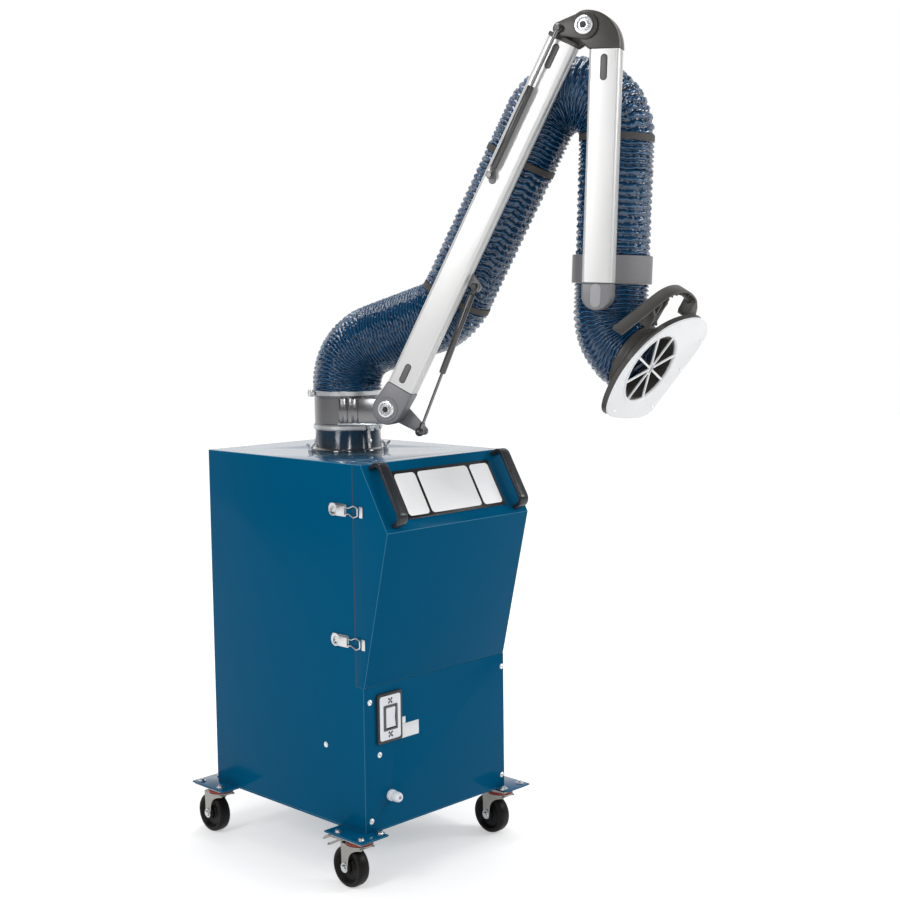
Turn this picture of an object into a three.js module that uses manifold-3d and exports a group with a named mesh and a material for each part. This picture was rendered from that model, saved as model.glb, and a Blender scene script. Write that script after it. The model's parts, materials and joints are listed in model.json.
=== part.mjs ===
// Mobile fume filter cabinet on castors with a jointed extraction arm on its top.
// Millimetres and degrees, +Z up. The cabinet's front is -Y and the floor is z = 0.
import * as THREE from 'three';
import { mergeVertices } from 'three/addons/utils/BufferGeometryUtils.js';
import Module from 'manifold-3d';

// Fits and sheet metal
const CLEARANCE = 0.3;
const SHEET = 2;

// Cabinet
const CABINET_WIDTH = 470;
const CABINET_DEPTH = 576;
const CABINET_HEIGHT = 863.5;
const PAN_THICKNESS = 4;
const FAN_SECTION_HEIGHT = 347;
const HATCH_DEPTH = 28;
const NOSE_REACH = 87;
const NOSE_DROP = 148;
const SHELF_WIDTH = 16;
const FAN_INLET_DIAMETER = 200;
const FILTER_SIZE = [420, 420, 260];
const FILTER_BORE = 160;
const MOTOR_DIAMETER = 130;
const MOTOR_HEIGHT = 200;
const MOTOR_FOOT_DIAMETER = 190;
const MOTOR_FOOT_HEIGHT = 10;
const SHAFT_DIAMETER = 16;
const IMPELLER_DIAMETER = 260;
const IMPELLER_HEIGHT = 70;
const IMPELLER_GAP = 12;
const IMPELLER_PLATE = 3;
const BLADE_COUNT = 10;
const GRILLE_SIZE = [300, 170];
const GRILLE_RIM = 20;
const GRILLE_RISE = 150;
const GRILLE_SLOTS = 7;

// Front fittings, placed from the cabinet's middle and its underside
const SWITCH_CENTRE = [-161, 267];
const SWITCH_SIZE = [78, 119];
const SWITCH_DEPTH = 6;
const SWITCH_CORNER = 6;
const SWITCH_MARGIN = 4;
const ROCKER_SIZE = [30, 50];
const ROCKER_DEPTH = 9;
const ROCKER_SWING = 2;
const GLAND_CENTRE = [-157, 78];
const GLAND_DIAMETER = 26;
const GLAND_SHANK = 16;
const GLAND_BORE = 9;
const GLAND_LENGTH = 20;

// Hatch handles, measured along the sloped panel
const HANDLE_OFFSET = 202;
const HANDLE_LENGTH = 156;
const HANDLE_RISE = 38;
const HANDLE_WIDTH = 26;
const HANDLE_THICKNESS = 9;
const HANDLE_CORNER = 16;
const HANDLE_START = 9;

// Toggle latches on the seam between shell and hatch
const LATCH_ABOVE_SPLIT = 103;
const LATCH_BELOW_TOP = 107.5;
const LATCH_LENGTH = 108;
const LATCH_WIDTH = 30;
const LATCH_WAIST = 14;
const LATCH_BASE_LENGTH = 78;
const LATCH_THICKNESS = 3;
const LATCH_CORNER = 6;

// Castors
const CASTOR_HEIGHT = 132;
const WHEEL_DIAMETER = 100;
const WHEEL_WIDTH = 32;
const HUB_WIDTH = 36;
const HUB_DIAMETER = 30;
const AXLE_DIAMETER = 10;
const CASTOR_TRAIL = 30;
const CASTOR_HEADING = -90;
const CASTOR_PLATE = [85, 105, 3.5];
const CASTOR_OUTSET = 6;
const CASTOR_INSET = 20;
const FORK_WALL = 3;
const FORK_HEAD_DIAMETER = 58;
const CROWN_THICKNESS = 3;
const CROWN_GAP = 6;
const PEDAL_LENGTH = 72;
const PEDAL_WIDTH = 34;
const PEDAL_THICKNESS = 4;
const PEDAL_LIP = [14, 6];
const EAR_OUT = [52, 40];
const EAR_IN = [32, 92];

// Arm foot
const SWIVEL_SETBACK = 18;
const ARM_HEADING = -67.2;
const DUCT_DIAMETER = 166;
const DUCT_WALL = 4;
const SPIGOT_HEIGHT = 58;
const COLLAR_HEIGHT = 81;
const FLANGE_DIAMETER = 178;
const FLANGE_THICKNESS = 4;
const BRACKET_THICKNESS = 9;
const SADDLE_DROP = 14;
const SADDLE_START = 17;
const SADDLE_SET = [58, 42];
const PIVOT_REACH = 166;
const PIVOT_RISE = 111.5;
const LEVER_REACH = 77;
const LEVER_DROP = 54;
const LEVER_RADIUS = 15;
const BOLT_DIAMETER = 16;
const BOLT_HEAD_DIAMETER = 30;
const BOLT_HEAD_HEIGHT = 8;

// Links. Places on a link are (along it, square to it), from its pivot.
const LINK_WIDTH = 70;
const LINK_THICKNESS = 42;
const LINK_WALL = 3;
const LINK_CORNER = 9;
const LINK_GAP = 4;
const SPIGOT_LENGTH = 40;
const KNUCKLE_RADIUS = 38;
const LOWER_ANGLE = 62.4;
const LOWER_START = 63;
const LOWER_LENGTH = 871;
const LOWER_OFFSET = -7;
const CAP_PLATE = 8;
const ELBOW_PAST = 51;
const ELBOW_OFFSET = -43;
const ELBOW_RADIUS = 35;
const UPPER_TILT = 2.2;
const UPPER_START = 51;
const UPPER_LENGTH = 509;
const UPPER_OFFSET = 45;
const END_CAP_LENGTH = 62;
const KNUCKLE_RELIEF = 4;
const ELBOW_BOSS_DIAMETER = 49;

// Gas springs
const SPRING_DIAMETER = 16;
const ROD_DIAMETER = 8;
const SPRING_EYE_DIAMETER = 20;
const SPRING_EYE_WIDTH = 12;
const STUD_DIAMETER = 12;
const LIFT_SPRING_TOP = [356, -63];
const LIFT_CYLINDER_LENGTH = 218;
const LIFT_BORE_DEPTH = 150;
const ELBOW_SPRING_FOOT = [-381, 6];
const ELBOW_CYLINDER_LENGTH = 215;
const ELBOW_BORE_DEPTH = 150;
const ROD_GUIDE = 60;
const ELBOW_LEVER = [-57, -5];
const ELBOW_LEVER_THICKNESS = 8;

// Ribbed hose
const HOSE_DIAMETER = 170;
const HOSE_BORE = 150;
const RIB_DEPTH = 4;
const RIB_PITCH = 20;
const HOSE_SIDES = 10;
const HOSE_RISE = 110;
const HOSE_SLOPE = 18;
const HOSE_SHIFT = 12;
const FOOT_BEND_RADIUS = 118;
const LINK_BEND_RADIUS = 105;
const CROWN_RADIUS = 98;
const BEND_TAIL = 20;
const CROWN_LEAD = 95;
const CROWN_TAIL = 79;

// Hose ring, gimbal and hood
const RING_DIAMETER = 185;
const RING_HEIGHT = 65;
const RING_SETBACK = 63;
const SPIDER_WIDTH = 10;
const SPIDER_HEIGHT = 20;
const BOSS_DIAMETER = 34;
const STEM_DIAMETER = 10;
const STEM_HEAD_DIAMETER = 24;
const STEM_HEAD_HEIGHT = 8;
const STEM_LENGTH = 132;
const STEM_EYE_DIAMETER = 28;
const HOOD_TURN = 16;
const HOOD_TILT = 30;
const HOOD_REACH = 127;
const HOOD_BEND_RADIUS = 116;
const NECK_LENGTH = 52;
const FACE_THICKNESS = 4;
const RIM_THICKNESS = 13;
const CONE_DIAMETER = 216;
const GRILLE_DIAMETER = 162;
const SPOKE_COUNT = 8;
const SPOKE_WIDTH = 4;
const GRILLE_HUB_DIAMETER = 26;
const GRILLE_HUB_WALL = 4;
const CHEEK_THICKNESS = 6;
const GRIP_WIDTH = 30;
const GRIP_THICKNESS = 5;
const GRIP_SET = 16;
const GRIP_ROUTE = [[-168, 82], [-100, 134], [-40, 178], [20, 190], [80, 172], [112, 146]];
const GRIP_FOOT = [[84, 168], [112, 146], [126, 120], [88, 120], [82, 130]];
const GRIP_STRUT = [[-92, 138], [-72, 150], [-22, 110], [-66, 96]];

// Outline of the hood's face in (y, z): start, then the curves and the long straight edge round it
const FACE_START = [-119, -45];
const FACE_TOP = [[-125, 30], [-60, 118], [70, 130]];
const FACE_CORNER = [[125, 135], [168, 122], [183, 92]];
const FACE_SHOULDER = [[190, 75], [180, 40], [160, -3]];
const FACE_EDGE_END = [113, -112];
const FACE_TOE = [[102, -134], [80, -138], [50, -136]];
const FACE_BOTTOM = [[0, -135], [-50, -133], [-84, -118]];
const FACE_HEEL = [[-108, -106], [-117, -80], [-119, -45]];

const rad = (degrees) => THREE.MathUtils.degToRad(degrees);
const wasm = await Module();
wasm.setup();

// Finishes
function finish(color, roughness, metalness) {
  return new THREE.MeshStandardMaterial({ color, roughness, metalness });
}
const BLUE_PAINT = finish(0x005a80, 0.3, 0.1);
const ZINC = finish(0xb9bdbf, 0.35, 0.9);
const BLACK_PLASTIC = finish(0x1d1e20, 0.5, 0);
const DARK_PLASTIC = finish(0x4a4a48, 0.5, 0);
const GREY_CASTING = finish(0x7d7e82, 0.5, 0.2);
const WHITE_PLASTIC = finish(0xe9ebee, 0.4, 0);
const PALE_ALUMINIUM = finish(0xd9d9d6, 0.35, 0.6);
const GUNMETAL = finish(0x4b4a4c, 0.3, 0.8);
const NAVY_HOSE = finish(0x14304f, 0.35, 0);
const FILTER_PAPER = finish(0xcfc9b4, 0.9, 0);
const GRILLE_PAINT = finish(0x2c2f33, 0.5, 0.2);

// Solids: a closed geometry in and out of the boolean library
function solid(geometry) {
  const bare = geometry.index ? geometry.toNonIndexed() : geometry.clone();
  bare.deleteAttribute('normal');
  bare.deleteAttribute('uv');
  const merged = mergeVertices(bare, 1e-4);
  return new wasm.Manifold(new wasm.Mesh({
    numProp: 3,
    vertProperties: new Float32Array(merged.attributes.position.array),
    triVerts: new Uint32Array(merged.index.array),
  }));
}

function geometryOf(manifold) {
  const mesh = manifold.getMesh();
  const geometry = new THREE.BufferGeometry();
  geometry.setAttribute('position', new THREE.BufferAttribute(mesh.vertProperties, 3));
  geometry.setIndex(new THREE.BufferAttribute(mesh.triVerts, 1));
  return geometry;
}

function piece(parent, name, form, material) {
  const geometry = form.isBufferGeometry ? form : geometryOf(form);
  const mesh = new THREE.Mesh(geometry, material);
  mesh.name = name;
  parent.add(mesh);
  return mesh;
}

function block(x0, x1, y0, y1, z0, z1) {
  const geometry = new THREE.BoxGeometry(x1 - x0, y1 - y0, z1 - z0);
  geometry.translate((x0 + x1) / 2, (y0 + y1) / 2, (z0 + z1) / 2);
  return solid(geometry);
}

// An outline in (y, z), drawn out from x0 to x1
function prismX(shape, x0, x1, curveSegments = 6) {
  const geometry = new THREE.ExtrudeGeometry(shape, { depth: x1 - x0, bevelEnabled: false, curveSegments });
  const turn = new THREE.Matrix4().makeBasis(
    new THREE.Vector3(0, 1, 0), new THREE.Vector3(0, 0, 1), new THREE.Vector3(1, 0, 0));
  geometry.applyMatrix4(turn);
  geometry.translate(x0, 0, 0);
  return solid(geometry);
}

// An outline in (x, z), drawn out towards -Y from w0 to w1, the distances in front of y = 0
function prismW(shape, w0, w1, curveSegments = 6) {
  const geometry = new THREE.ExtrudeGeometry(shape, { depth: w1 - w0, bevelEnabled: false, curveSegments });
  geometry.rotateX(Math.PI / 2);
  geometry.translate(0, -w0, 0);
  return solid(geometry);
}

// An outline in (x, y), drawn out upwards
function prismZ(shape, z0, z1, curveSegments = 6) {
  const geometry = new THREE.ExtrudeGeometry(shape, { depth: z1 - z0, bevelEnabled: false, curveSegments });
  geometry.translate(0, 0, z0);
  return solid(geometry);
}

// A closed profile of (radius, height) turned about Z
function turned(profile, segments = 24) {
  const closed = [...profile, profile[0]].map(([r, z]) => new THREE.Vector2(r, z));
  const geometry = new THREE.LatheGeometry(closed, segments);
  geometry.rotateX(Math.PI / 2);
  return solid(geometry);
}

function rod(radius, z0, z1, segments = 16) {
  const geometry = new THREE.CylinderGeometry(radius, radius, z1 - z0, segments);
  geometry.rotateX(Math.PI / 2);
  geometry.translate(0, 0, (z0 + z1) / 2);
  return solid(geometry);
}

// A round bar along -Y from w0 to w1 through (x, z)
function pin(x, z, radius, w0, w1, segments = 16) {
  const geometry = new THREE.CylinderGeometry(radius, radius, w1 - w0, segments);
  geometry.translate(x, -(w0 + w1) / 2, z);
  return solid(geometry);
}

function polygon(points) {
  return new THREE.Shape(points.map(([x, y]) => new THREE.Vector2(x, y)));
}

// The outline around two discs
function strapOutline([ax, ay], ar, [bx, by], br) {
  const turn = Math.atan2(by - ay, bx - ax);
  const lean = Math.acos((ar - br) / Math.hypot(bx - ax, by - ay));
  const shape = new THREE.Shape();
  shape.absarc(ax, ay, ar, turn + lean, turn - lean + 2 * Math.PI, false);
  shape.absarc(bx, by, br, turn - lean, turn + lean, false);
  return shape;
}

function roundedRectangle(x0, x1, y0, y1, radius) {
  const shape = new THREE.Shape();
  shape.absarc(x1 - radius, y1 - radius, radius, 0, Math.PI / 2, false);
  shape.absarc(x0 + radius, y1 - radius, radius, Math.PI / 2, Math.PI, false);
  shape.absarc(x0 + radius, y0 + radius, radius, Math.PI, Math.PI * 1.5, false);
  shape.absarc(x1 - radius, y0 + radius, radius, Math.PI * 1.5, Math.PI * 2, false);
  return shape;
}

const part = new THREE.Group();

// Heights and planes that the pieces share
const zPan = CASTOR_HEIGHT + PAN_THICKNESS;
const zShell = zPan + CLEARANCE;
const zTop = CASTOR_HEIGHT + CABINET_HEIGHT;
const zSplit = CASTOR_HEIGHT + FAN_SECTION_HEIGHT;
const xSide = CABINET_WIDTH / 2;
const yBack = CABINET_DEPTH / 2;
const yFront = -CABINET_DEPTH / 2;
const ySeam = yFront + HATCH_DEPTH;
const ductRadius = DUCT_DIAMETER / 2;
const ductBore = ductRadius - DUCT_WALL;

// Cabinet: base pan with corner ears
function cornerOutline(sx, sy) {
  const xs = [sx * (xSide + EAR_OUT[0]), sx * (xSide - EAR_IN[0])];
  const ys = [sy * (yBack + EAR_OUT[1]), sy * (yBack - EAR_IN[1])];
  return block(Math.min(...xs), Math.max(...xs), Math.min(...ys), Math.max(...ys), CASTOR_HEIGHT, zPan);
}
const corners = [['front_left', -1, -1], ['front_right', 1, -1], ['rear_left', -1, 1], ['rear_right', 1, 1]];
let basePan = block(-xSide, xSide, yFront, yBack, CASTOR_HEIGHT, zPan);
for (const [, sx, sy] of corners) {
  basePan = basePan.add(cornerOutline(sx, sy));
}
piece(part, 'base_pan', basePan, BLUE_PAINT);

// Cabinet: folded shell, open at the front and the bottom, with shelf angles for the fan deck
const yPanel = yFront + SHEET + CLEARANCE;
const zDeck = zSplit;
const shellOutline = polygon([
  [yBack, zShell], [yBack, zTop], [ySeam, zTop], [ySeam, zSplit], [yPanel, zSplit], [yPanel, zShell]]);
const inner = xSide - SHEET;
let shell = prismX(shellOutline, -xSide, xSide);
shell = shell.subtract(block(-inner, inner, yFront - SHEET, yBack - SHEET, zShell - SHEET, zTop - SHEET));
for (const side of [-1, 1]) {
  const xs = [side * (inner + SHEET / 2), side * (inner - SHELF_WIDTH)];
  const shelf = block(Math.min(...xs), Math.max(...xs), ySeam, yBack - SHEET / 2,
    zDeck - CLEARANCE - SHEET, zDeck - CLEARANCE);
  shell = shell.add(shelf);
}
const topHole = rod(ductBore, zTop - 2 * SHEET, zTop + SHEET, 32);
shell = shell.subtract(topHole.translate([0, SWIVEL_SETBACK, 0]));
const exhaust = [GRILLE_SIZE[0] / 2 - GRILLE_RIM, GRILLE_SIZE[1] / 2 - GRILLE_RIM];
const zGrille = CASTOR_HEIGHT + GRILLE_RISE;
shell = shell.subtract(block(-exhaust[0], exhaust[0], yBack - 2 * SHEET, yBack + SHEET,
  zGrille - exhaust[1], zGrille + exhaust[1]));
piece(part, 'cabinet_shell', shell, BLUE_PAINT);

let grille = block(-GRILLE_SIZE[0] / 2, GRILLE_SIZE[0] / 2, yBack + CLEARANCE, yBack + CLEARANCE + SHEET,
  zGrille - GRILLE_SIZE[1] / 2, zGrille + GRILLE_SIZE[1] / 2);
const slotPitch = 2 * exhaust[1] / GRILLE_SLOTS;
for (let i = 0; i < GRILLE_SLOTS; i += 1) {
  const z = zGrille - exhaust[1] + (i + 0.5) * slotPitch;
  grille = grille.subtract(block(-exhaust[0], exhaust[0], yBack - SHEET, yBack + 3 * SHEET,
    z - slotPitch / 4, z + slotPitch / 4));
}
piece(part, 'exhaust_grille', grille, GRILLE_PAINT);

// Cabinet inside: fan deck, filter cartridge, motor and impeller
let deck = block(-inner + CLEARANCE, inner - CLEARANCE, ySeam, yBack - SHEET - CLEARANCE,
  zDeck, zDeck + SHEET);
deck = deck.subtract(rod(FAN_INLET_DIAMETER / 2, zDeck - SHEET, zDeck + 2 * SHEET, 32));
piece(part, 'fan_deck', deck, ZINC);

const zFilter = zDeck + SHEET + CLEARANCE;
const [filterX, filterY, filterZ] = FILTER_SIZE;
let cartridge = block(-filterX / 2, filterX / 2, -filterY / 2, filterY / 2, zFilter, zFilter + filterZ);
cartridge = cartridge.subtract(rod(FILTER_BORE / 2, zFilter - SHEET, zFilter + filterZ + SHEET, 32));
piece(part, 'filter_cartridge', cartridge, FILTER_PAPER);

const zImpellerTop = zDeck - IMPELLER_GAP;
const zImpeller = zImpellerTop - IMPELLER_HEIGHT;
const zMotorTop = zShell + MOTOR_HEIGHT;
const shaftTop = zImpellerTop - IMPELLER_HEIGHT / 4;
const zMotorFoot = zShell + MOTOR_FOOT_HEIGHT;
const footRadius = MOTOR_FOOT_DIAMETER / 2;
const motorRadius = MOTOR_DIAMETER / 2;
const shaftRadius = SHAFT_DIAMETER / 2;
const motor = turned([[0, zShell], [footRadius, zShell], [footRadius, zMotorFoot], [motorRadius, zMotorFoot],
  [motorRadius, zMotorTop], [shaftRadius, zMotorTop], [shaftRadius, shaftTop], [0, shaftTop]]);
piece(part, 'fan_motor', motor, DARK_PLASTIC);

const impellerRadius = IMPELLER_DIAMETER / 2;
const hubRadius = SHAFT_DIAMETER;
const zDisc = zImpeller + IMPELLER_PLATE;
const zShroud = zImpellerTop - IMPELLER_PLATE;
let impeller = turned([[0, zImpeller], [impellerRadius, zImpeller], [impellerRadius, zDisc],
  [hubRadius, zDisc], [hubRadius, shaftTop], [0, shaftTop]]);
const eye = FAN_INLET_DIAMETER / 2;
impeller = impeller.add(turned([[eye, zShroud], [impellerRadius, zShroud],
  [impellerRadius, zImpellerTop], [eye, zImpellerTop]]));
for (let i = 0; i < BLADE_COUNT; i += 1) {
  const half = IMPELLER_PLATE / 2;
  const blade = block(eye - hubRadius, impellerRadius - IMPELLER_PLATE, -half, half,
    zDisc - half, zShroud + half);
  impeller = impeller.add(blade.rotate([0, 0, i * 360 / BLADE_COUNT]));
}
impeller = impeller.subtract(rod(shaftRadius + CLEARANCE, zImpeller - SHEET, zImpellerTop + SHEET));
piece(part, 'fan_impeller', impeller, ZINC);

// Lower front panel with the cut-outs of its switch and cable gland
const [switchX, switchRise] = SWITCH_CENTRE;
const zSwitch = CASTOR_HEIGHT + switchRise;
const [glandX, glandRise] = GLAND_CENTRE;
const zGland = CASTOR_HEIGHT + glandRise;
const holeX = ROCKER_SIZE[0] / 2 + CLEARANCE;
const holeZ = ROCKER_SIZE[1] / 2 + ROCKER_SWING;
let panel = block(-xSide, xSide, yFront, yFront + SHEET, zShell, zSplit - CLEARANCE);
panel = panel.subtract(block(switchX - holeX - SWITCH_MARGIN, switchX + holeX + SWITCH_MARGIN,
  yFront - SHEET, yFront + 2 * SHEET, zSwitch - holeZ - SWITCH_MARGIN, zSwitch + holeZ + SWITCH_MARGIN));
const glandShank = GLAND_SHANK / 2;
panel = panel.subtract(pin(glandX, zGland, glandShank + CLEARANCE, -yFront - 2 * SHEET, -yFront + SHEET));
piece(part, 'lower_front_panel', panel, BLUE_PAINT);

const wPlate = -yFront + CLEARANCE;
let switchPlate = prismW(roundedRectangle(switchX - SWITCH_SIZE[0] / 2, switchX + SWITCH_SIZE[0] / 2,
  zSwitch - SWITCH_SIZE[1] / 2, zSwitch + SWITCH_SIZE[1] / 2, SWITCH_CORNER), wPlate, wPlate + SWITCH_DEPTH);
switchPlate = switchPlate.subtract(block(switchX - holeX, switchX + holeX,
  yFront - 3 * SWITCH_DEPTH, yFront + SHEET, zSwitch - holeZ, zSwitch + holeZ));
piece(part, 'switch_plate', switchPlate, BLACK_PLASTIC);

const rocker = new THREE.Group();
rocker.position.set(switchX, -wPlate, zSwitch);
const rockerHalf = ROCKER_SIZE[1] / 2;
const rockerOutline = polygon([[SHEET, -rockerHalf / 2], [SHEET, rockerHalf / 2],
  [-ROCKER_DEPTH / 2, rockerHalf], [-ROCKER_DEPTH, rockerHalf - ROCKER_SWING],
  [-ROCKER_DEPTH + ROCKER_SWING, 0],
  [-ROCKER_DEPTH, -rockerHalf + ROCKER_SWING], [-ROCKER_DEPTH / 2, -rockerHalf]]);
piece(rocker, 'switch_rocker', prismX(rockerOutline, -ROCKER_SIZE[0] / 2, ROCKER_SIZE[0] / 2), DARK_PLASTIC);
part.add(rocker);

const gland = new THREE.Group();
gland.position.set(glandX, -wPlate, zGland);
gland.rotation.x = Math.PI / 2;
const shankBack = -3 * SHEET;
const glandRadius = GLAND_DIAMETER / 2;
const glandBore = GLAND_BORE / 2;
piece(gland, 'cable_gland', turned([[glandBore, shankBack], [glandShank, shankBack], [glandShank, 0],
  [glandRadius, 0], [glandRadius, GLAND_LENGTH / 2], [glandShank + SHEET, GLAND_LENGTH],
  [glandBore, GLAND_LENGTH]], 16), WHITE_PLASTIC);
part.add(gland);

// Front hatch: a box lid whose upper front slopes back from the nose to the top
const yNose = yFront - NOSE_REACH;
const zNose = zTop - NOSE_DROP;
const zHatch = zSplit + CLEARANCE;
const yHatchBack = ySeam - CLEARANCE;
const slopeRun = yFront - yNose;
const slopeLength = Math.hypot(slopeRun, NOSE_DROP);
const slopeAngle = Math.atan2(NOSE_DROP, slopeRun);
const frontAngle = Math.atan2(zNose - zHatch, yFront - yNose);
const noseInset = SHEET / Math.sin((Math.PI - slopeAngle - frontAngle) / 2 + frontAngle);
const hatchOuter = polygon([[yHatchBack, zHatch], [yFront, zHatch], [yNose, zNose],
  [yFront, zTop], [yHatchBack, zTop]]);
const wallShift = SHEET / Math.sin(frontAngle);
const slopeShift = SHEET / Math.sin(slopeAngle);
const hatchInner = polygon([[ySeam + SHEET, zHatch + SHEET], [yFront + wallShift, zHatch + SHEET],
  [yNose + noseInset, zNose], [yFront + slopeShift, zTop - SHEET], [ySeam + SHEET, zTop - SHEET]]);
const hatch = prismX(hatchOuter, -xSide, xSide).subtract(prismX(hatchInner, -inner, inner));
piece(part, 'front_hatch', hatch, BLUE_PAINT);

// Strap handles standing on the sloped panel, drawn flat in (along the slope, out from it)
const handleEnd = HANDLE_START + HANDLE_LENGTH;
const cornerStart = HANDLE_START + HANDLE_CORNER;
const cornerEnd = handleEnd - HANDLE_CORNER;
const cornerRise = HANDLE_RISE - HANDLE_CORNER;
const innerCorner = HANDLE_CORNER - HANDLE_THICKNESS;
const handleOutline = new THREE.Shape();
handleOutline.moveTo(HANDLE_START, CLEARANCE);
handleOutline.lineTo(HANDLE_START, cornerRise);
handleOutline.absarc(cornerStart, cornerRise, HANDLE_CORNER, Math.PI, Math.PI / 2, true);
handleOutline.absarc(cornerEnd, cornerRise, HANDLE_CORNER, Math.PI / 2, 0, true);
handleOutline.lineTo(handleEnd, CLEARANCE);
handleOutline.lineTo(handleEnd - HANDLE_THICKNESS, CLEARANCE);
handleOutline.absarc(cornerEnd, cornerRise, innerCorner, 0, Math.PI / 2, false);
handleOutline.absarc(cornerStart, cornerRise, innerCorner, Math.PI / 2, Math.PI, false);
handleOutline.lineTo(HANDLE_START + HANDLE_THICKNESS, CLEARANCE);
for (const [name, side] of [['hatch_handle_left', -1], ['hatch_handle_right', 1]]) {
  const place = new THREE.Group();
  place.position.set(side * HANDLE_OFFSET, yNose, zNose);
  place.rotation.x = slopeAngle;
  piece(place, name, prismX(handleOutline, -HANDLE_WIDTH / 2, HANDLE_WIDTH / 2, 4), DARK_PLASTIC);
  part.add(place);
}

// Toggle latches: a base plate on the shell and a waisted lever that reaches over the seam
function latch(name, side, z) {
  const lowest = side < 0 ? -xSide - CLEARANCE - LATCH_THICKNESS : xSide + CLEARANCE;
  const yHinge = ySeam + LATCH_BASE_LENGTH;
  const half = LATCH_WIDTH / 2;
  const base = prismX(roundedRectangle(ySeam + SHEET, yHinge + SHEET, z - half, z + half, LATCH_CORNER),
    lowest, lowest + LATCH_THICKNESS, 2);
  piece(part, `latch_base_${name}`, base, ZINC);
  const leverLow = lowest + side * (LATCH_THICKNESS + CLEARANCE);
  const yTip = yHinge - LATCH_LENGTH;
  const yWaist = (yHinge + yTip) / 2;
  const leverHigh = leverLow + LATCH_THICKNESS;
  const front = roundedRectangle(yTip, yWaist - LATCH_WAIST / 4, z - half, z + half, LATCH_CORNER);
  const back = roundedRectangle(yWaist + LATCH_WAIST / 4, yHinge, z - half, z + half, LATCH_CORNER);
  let lever = prismX(front, leverLow, leverHigh, 2).add(prismX(back, leverLow, leverHigh, 2));
  lever = lever.add(block(leverLow, leverHigh, yTip + LATCH_CORNER, yHinge - LATCH_CORNER,
    z - LATCH_WAIST / 2, z + LATCH_WAIST / 2));
  piece(part, `latch_lever_${name}`, lever, ZINC);
}
for (const [level, height] of [['lower', zSplit + LATCH_ABOVE_SPLIT], ['upper', zTop - LATCH_BELOW_TOP]]) {
  latch(`${level}_left`, -1, height);
  latch(`${level}_right`, 1, height);
}

// Castors: top plate, swivel fork with its axle, wheel, and a brake pedal on the front two
const zCastorPlate = CASTOR_HEIGHT - CLEARANCE - CASTOR_PLATE[2];
const zAxle = WHEEL_DIAMETER / 2;
const zCrown = WHEEL_DIAMETER + CROWN_GAP;
const zCrownTop = zCrown + CROWN_THICKNESS;
const zHead = zCastorPlate - CLEARANCE;
const cheek = HUB_WIDTH / 2 + CLEARANCE;
const headRadius = FORK_HEAD_DIAMETER / 2;

function castorFork() {
  const axle = [-CASTOR_TRAIL, zAxle];
  const arm = strapOutline(axle, HUB_DIAMETER / 2, [0, zCrownTop - headRadius], headRadius);
  let fork = prismW(arm, cheek, cheek + FORK_WALL, 5).add(prismW(arm, -cheek - FORK_WALL, -cheek, 5));
  const keep = block(-2 * CASTOR_TRAIL, CASTOR_TRAIL, -HUB_WIDTH, HUB_WIDTH, 0, zCrownTop);
  fork = fork.intersect(keep);
  fork = fork.add(block(-headRadius, headRadius, -cheek - FORK_WALL, cheek + FORK_WALL, zCrown, zCrownTop));
  fork = fork.add(rod(headRadius, zCrown, zHead));
  return fork.add(pin(-CASTOR_TRAIL, zAxle, AXLE_DIAMETER / 2, -cheek - FORK_WALL, cheek + FORK_WALL));
}

function castorWheel() {
  const hub = HUB_DIAMETER / 2;
  const face = WHEEL_WIDTH / 2;
  const tread = WHEEL_DIAMETER / 2;
  const round = 6;
  const bore = AXLE_DIAMETER / 2 + CLEARANCE;
  return turned([[bore, -HUB_WIDTH / 2], [hub, -HUB_WIDTH / 2], [hub, -face / 2], [tread - 2 * round, -face],
    [tread - round, -face], [tread, -face + round], [tread, face - round],
    [tread - round, face], [tread - 2 * round, face], [hub, face / 2],
    [hub, HUB_WIDTH / 2], [bore, HUB_WIDTH / 2]], 20);
}

function brakePedal() {
  const start = headRadius + 3 * CLEARANCE;
  const zPedal = zCrownTop + CLEARANCE;
  const tip = start + PEDAL_LENGTH;
  const [lipRun, lipDrop] = PEDAL_LIP;
  const lip = -tip + lipRun;
  const zTread = zPedal + PEDAL_THICKNESS;
  const zLip = zPedal - lipDrop;
  const tread = polygon([[-start, zPedal], [-start, zTread], [lip, zTread], [-tip, zLip],
    [-tip + PEDAL_THICKNESS, zLip - PEDAL_THICKNESS / 2], [lip + CLEARANCE, zPedal]]);
  return prismW(tread, -PEDAL_WIDTH / 2, PEDAL_WIDTH / 2);
}

for (const [name, sx, sy] of corners) {
  const castor = new THREE.Group();
  castor.position.set(sx * (xSide + CASTOR_OUTSET), sy * (yBack - CASTOR_INSET), 0);
  const [plateX, plateY, plateZ] = CASTOR_PLATE;
  piece(castor, `castor_plate_${name}`, block(-plateX / 2, plateX / 2, -plateY / 2, plateY / 2,
    zCastorPlate, zCastorPlate + plateZ), ZINC);
  const swivel = new THREE.Group();
  swivel.rotation.z = rad(CASTOR_HEADING);
  castor.add(swivel);
  piece(swivel, `castor_fork_${name}`, castorFork(), ZINC);
  const wheel = new THREE.Group();
  wheel.position.set(-CASTOR_TRAIL, 0, zAxle);
  wheel.rotation.x = Math.PI / 2;
  piece(wheel, `castor_wheel_${name}`, castorWheel(), BLACK_PLASTIC);
  swivel.add(wheel);
  if (sy < 0) {
    piece(swivel, `brake_pedal_${name}`, brakePedal(), ZINC);
  }
  part.add(castor);
}

// Arm foot: the fixed spigot on the cabinet top
const foot = new THREE.Group();
foot.position.set(0, SWIVEL_SETBACK, zTop);
part.add(foot);
const flange = FLANGE_DIAMETER / 2;
const zFlange = CLEARANCE + FLANGE_THICKNESS;
piece(foot, 'top_spigot', turned([[ductBore, CLEARANCE], [flange, CLEARANCE], [flange, zFlange],
  [ductRadius, zFlange], [ductRadius, SPIGOT_HEIGHT], [ductBore, SPIGOT_HEIGHT]]), GUNMETAL);

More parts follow.
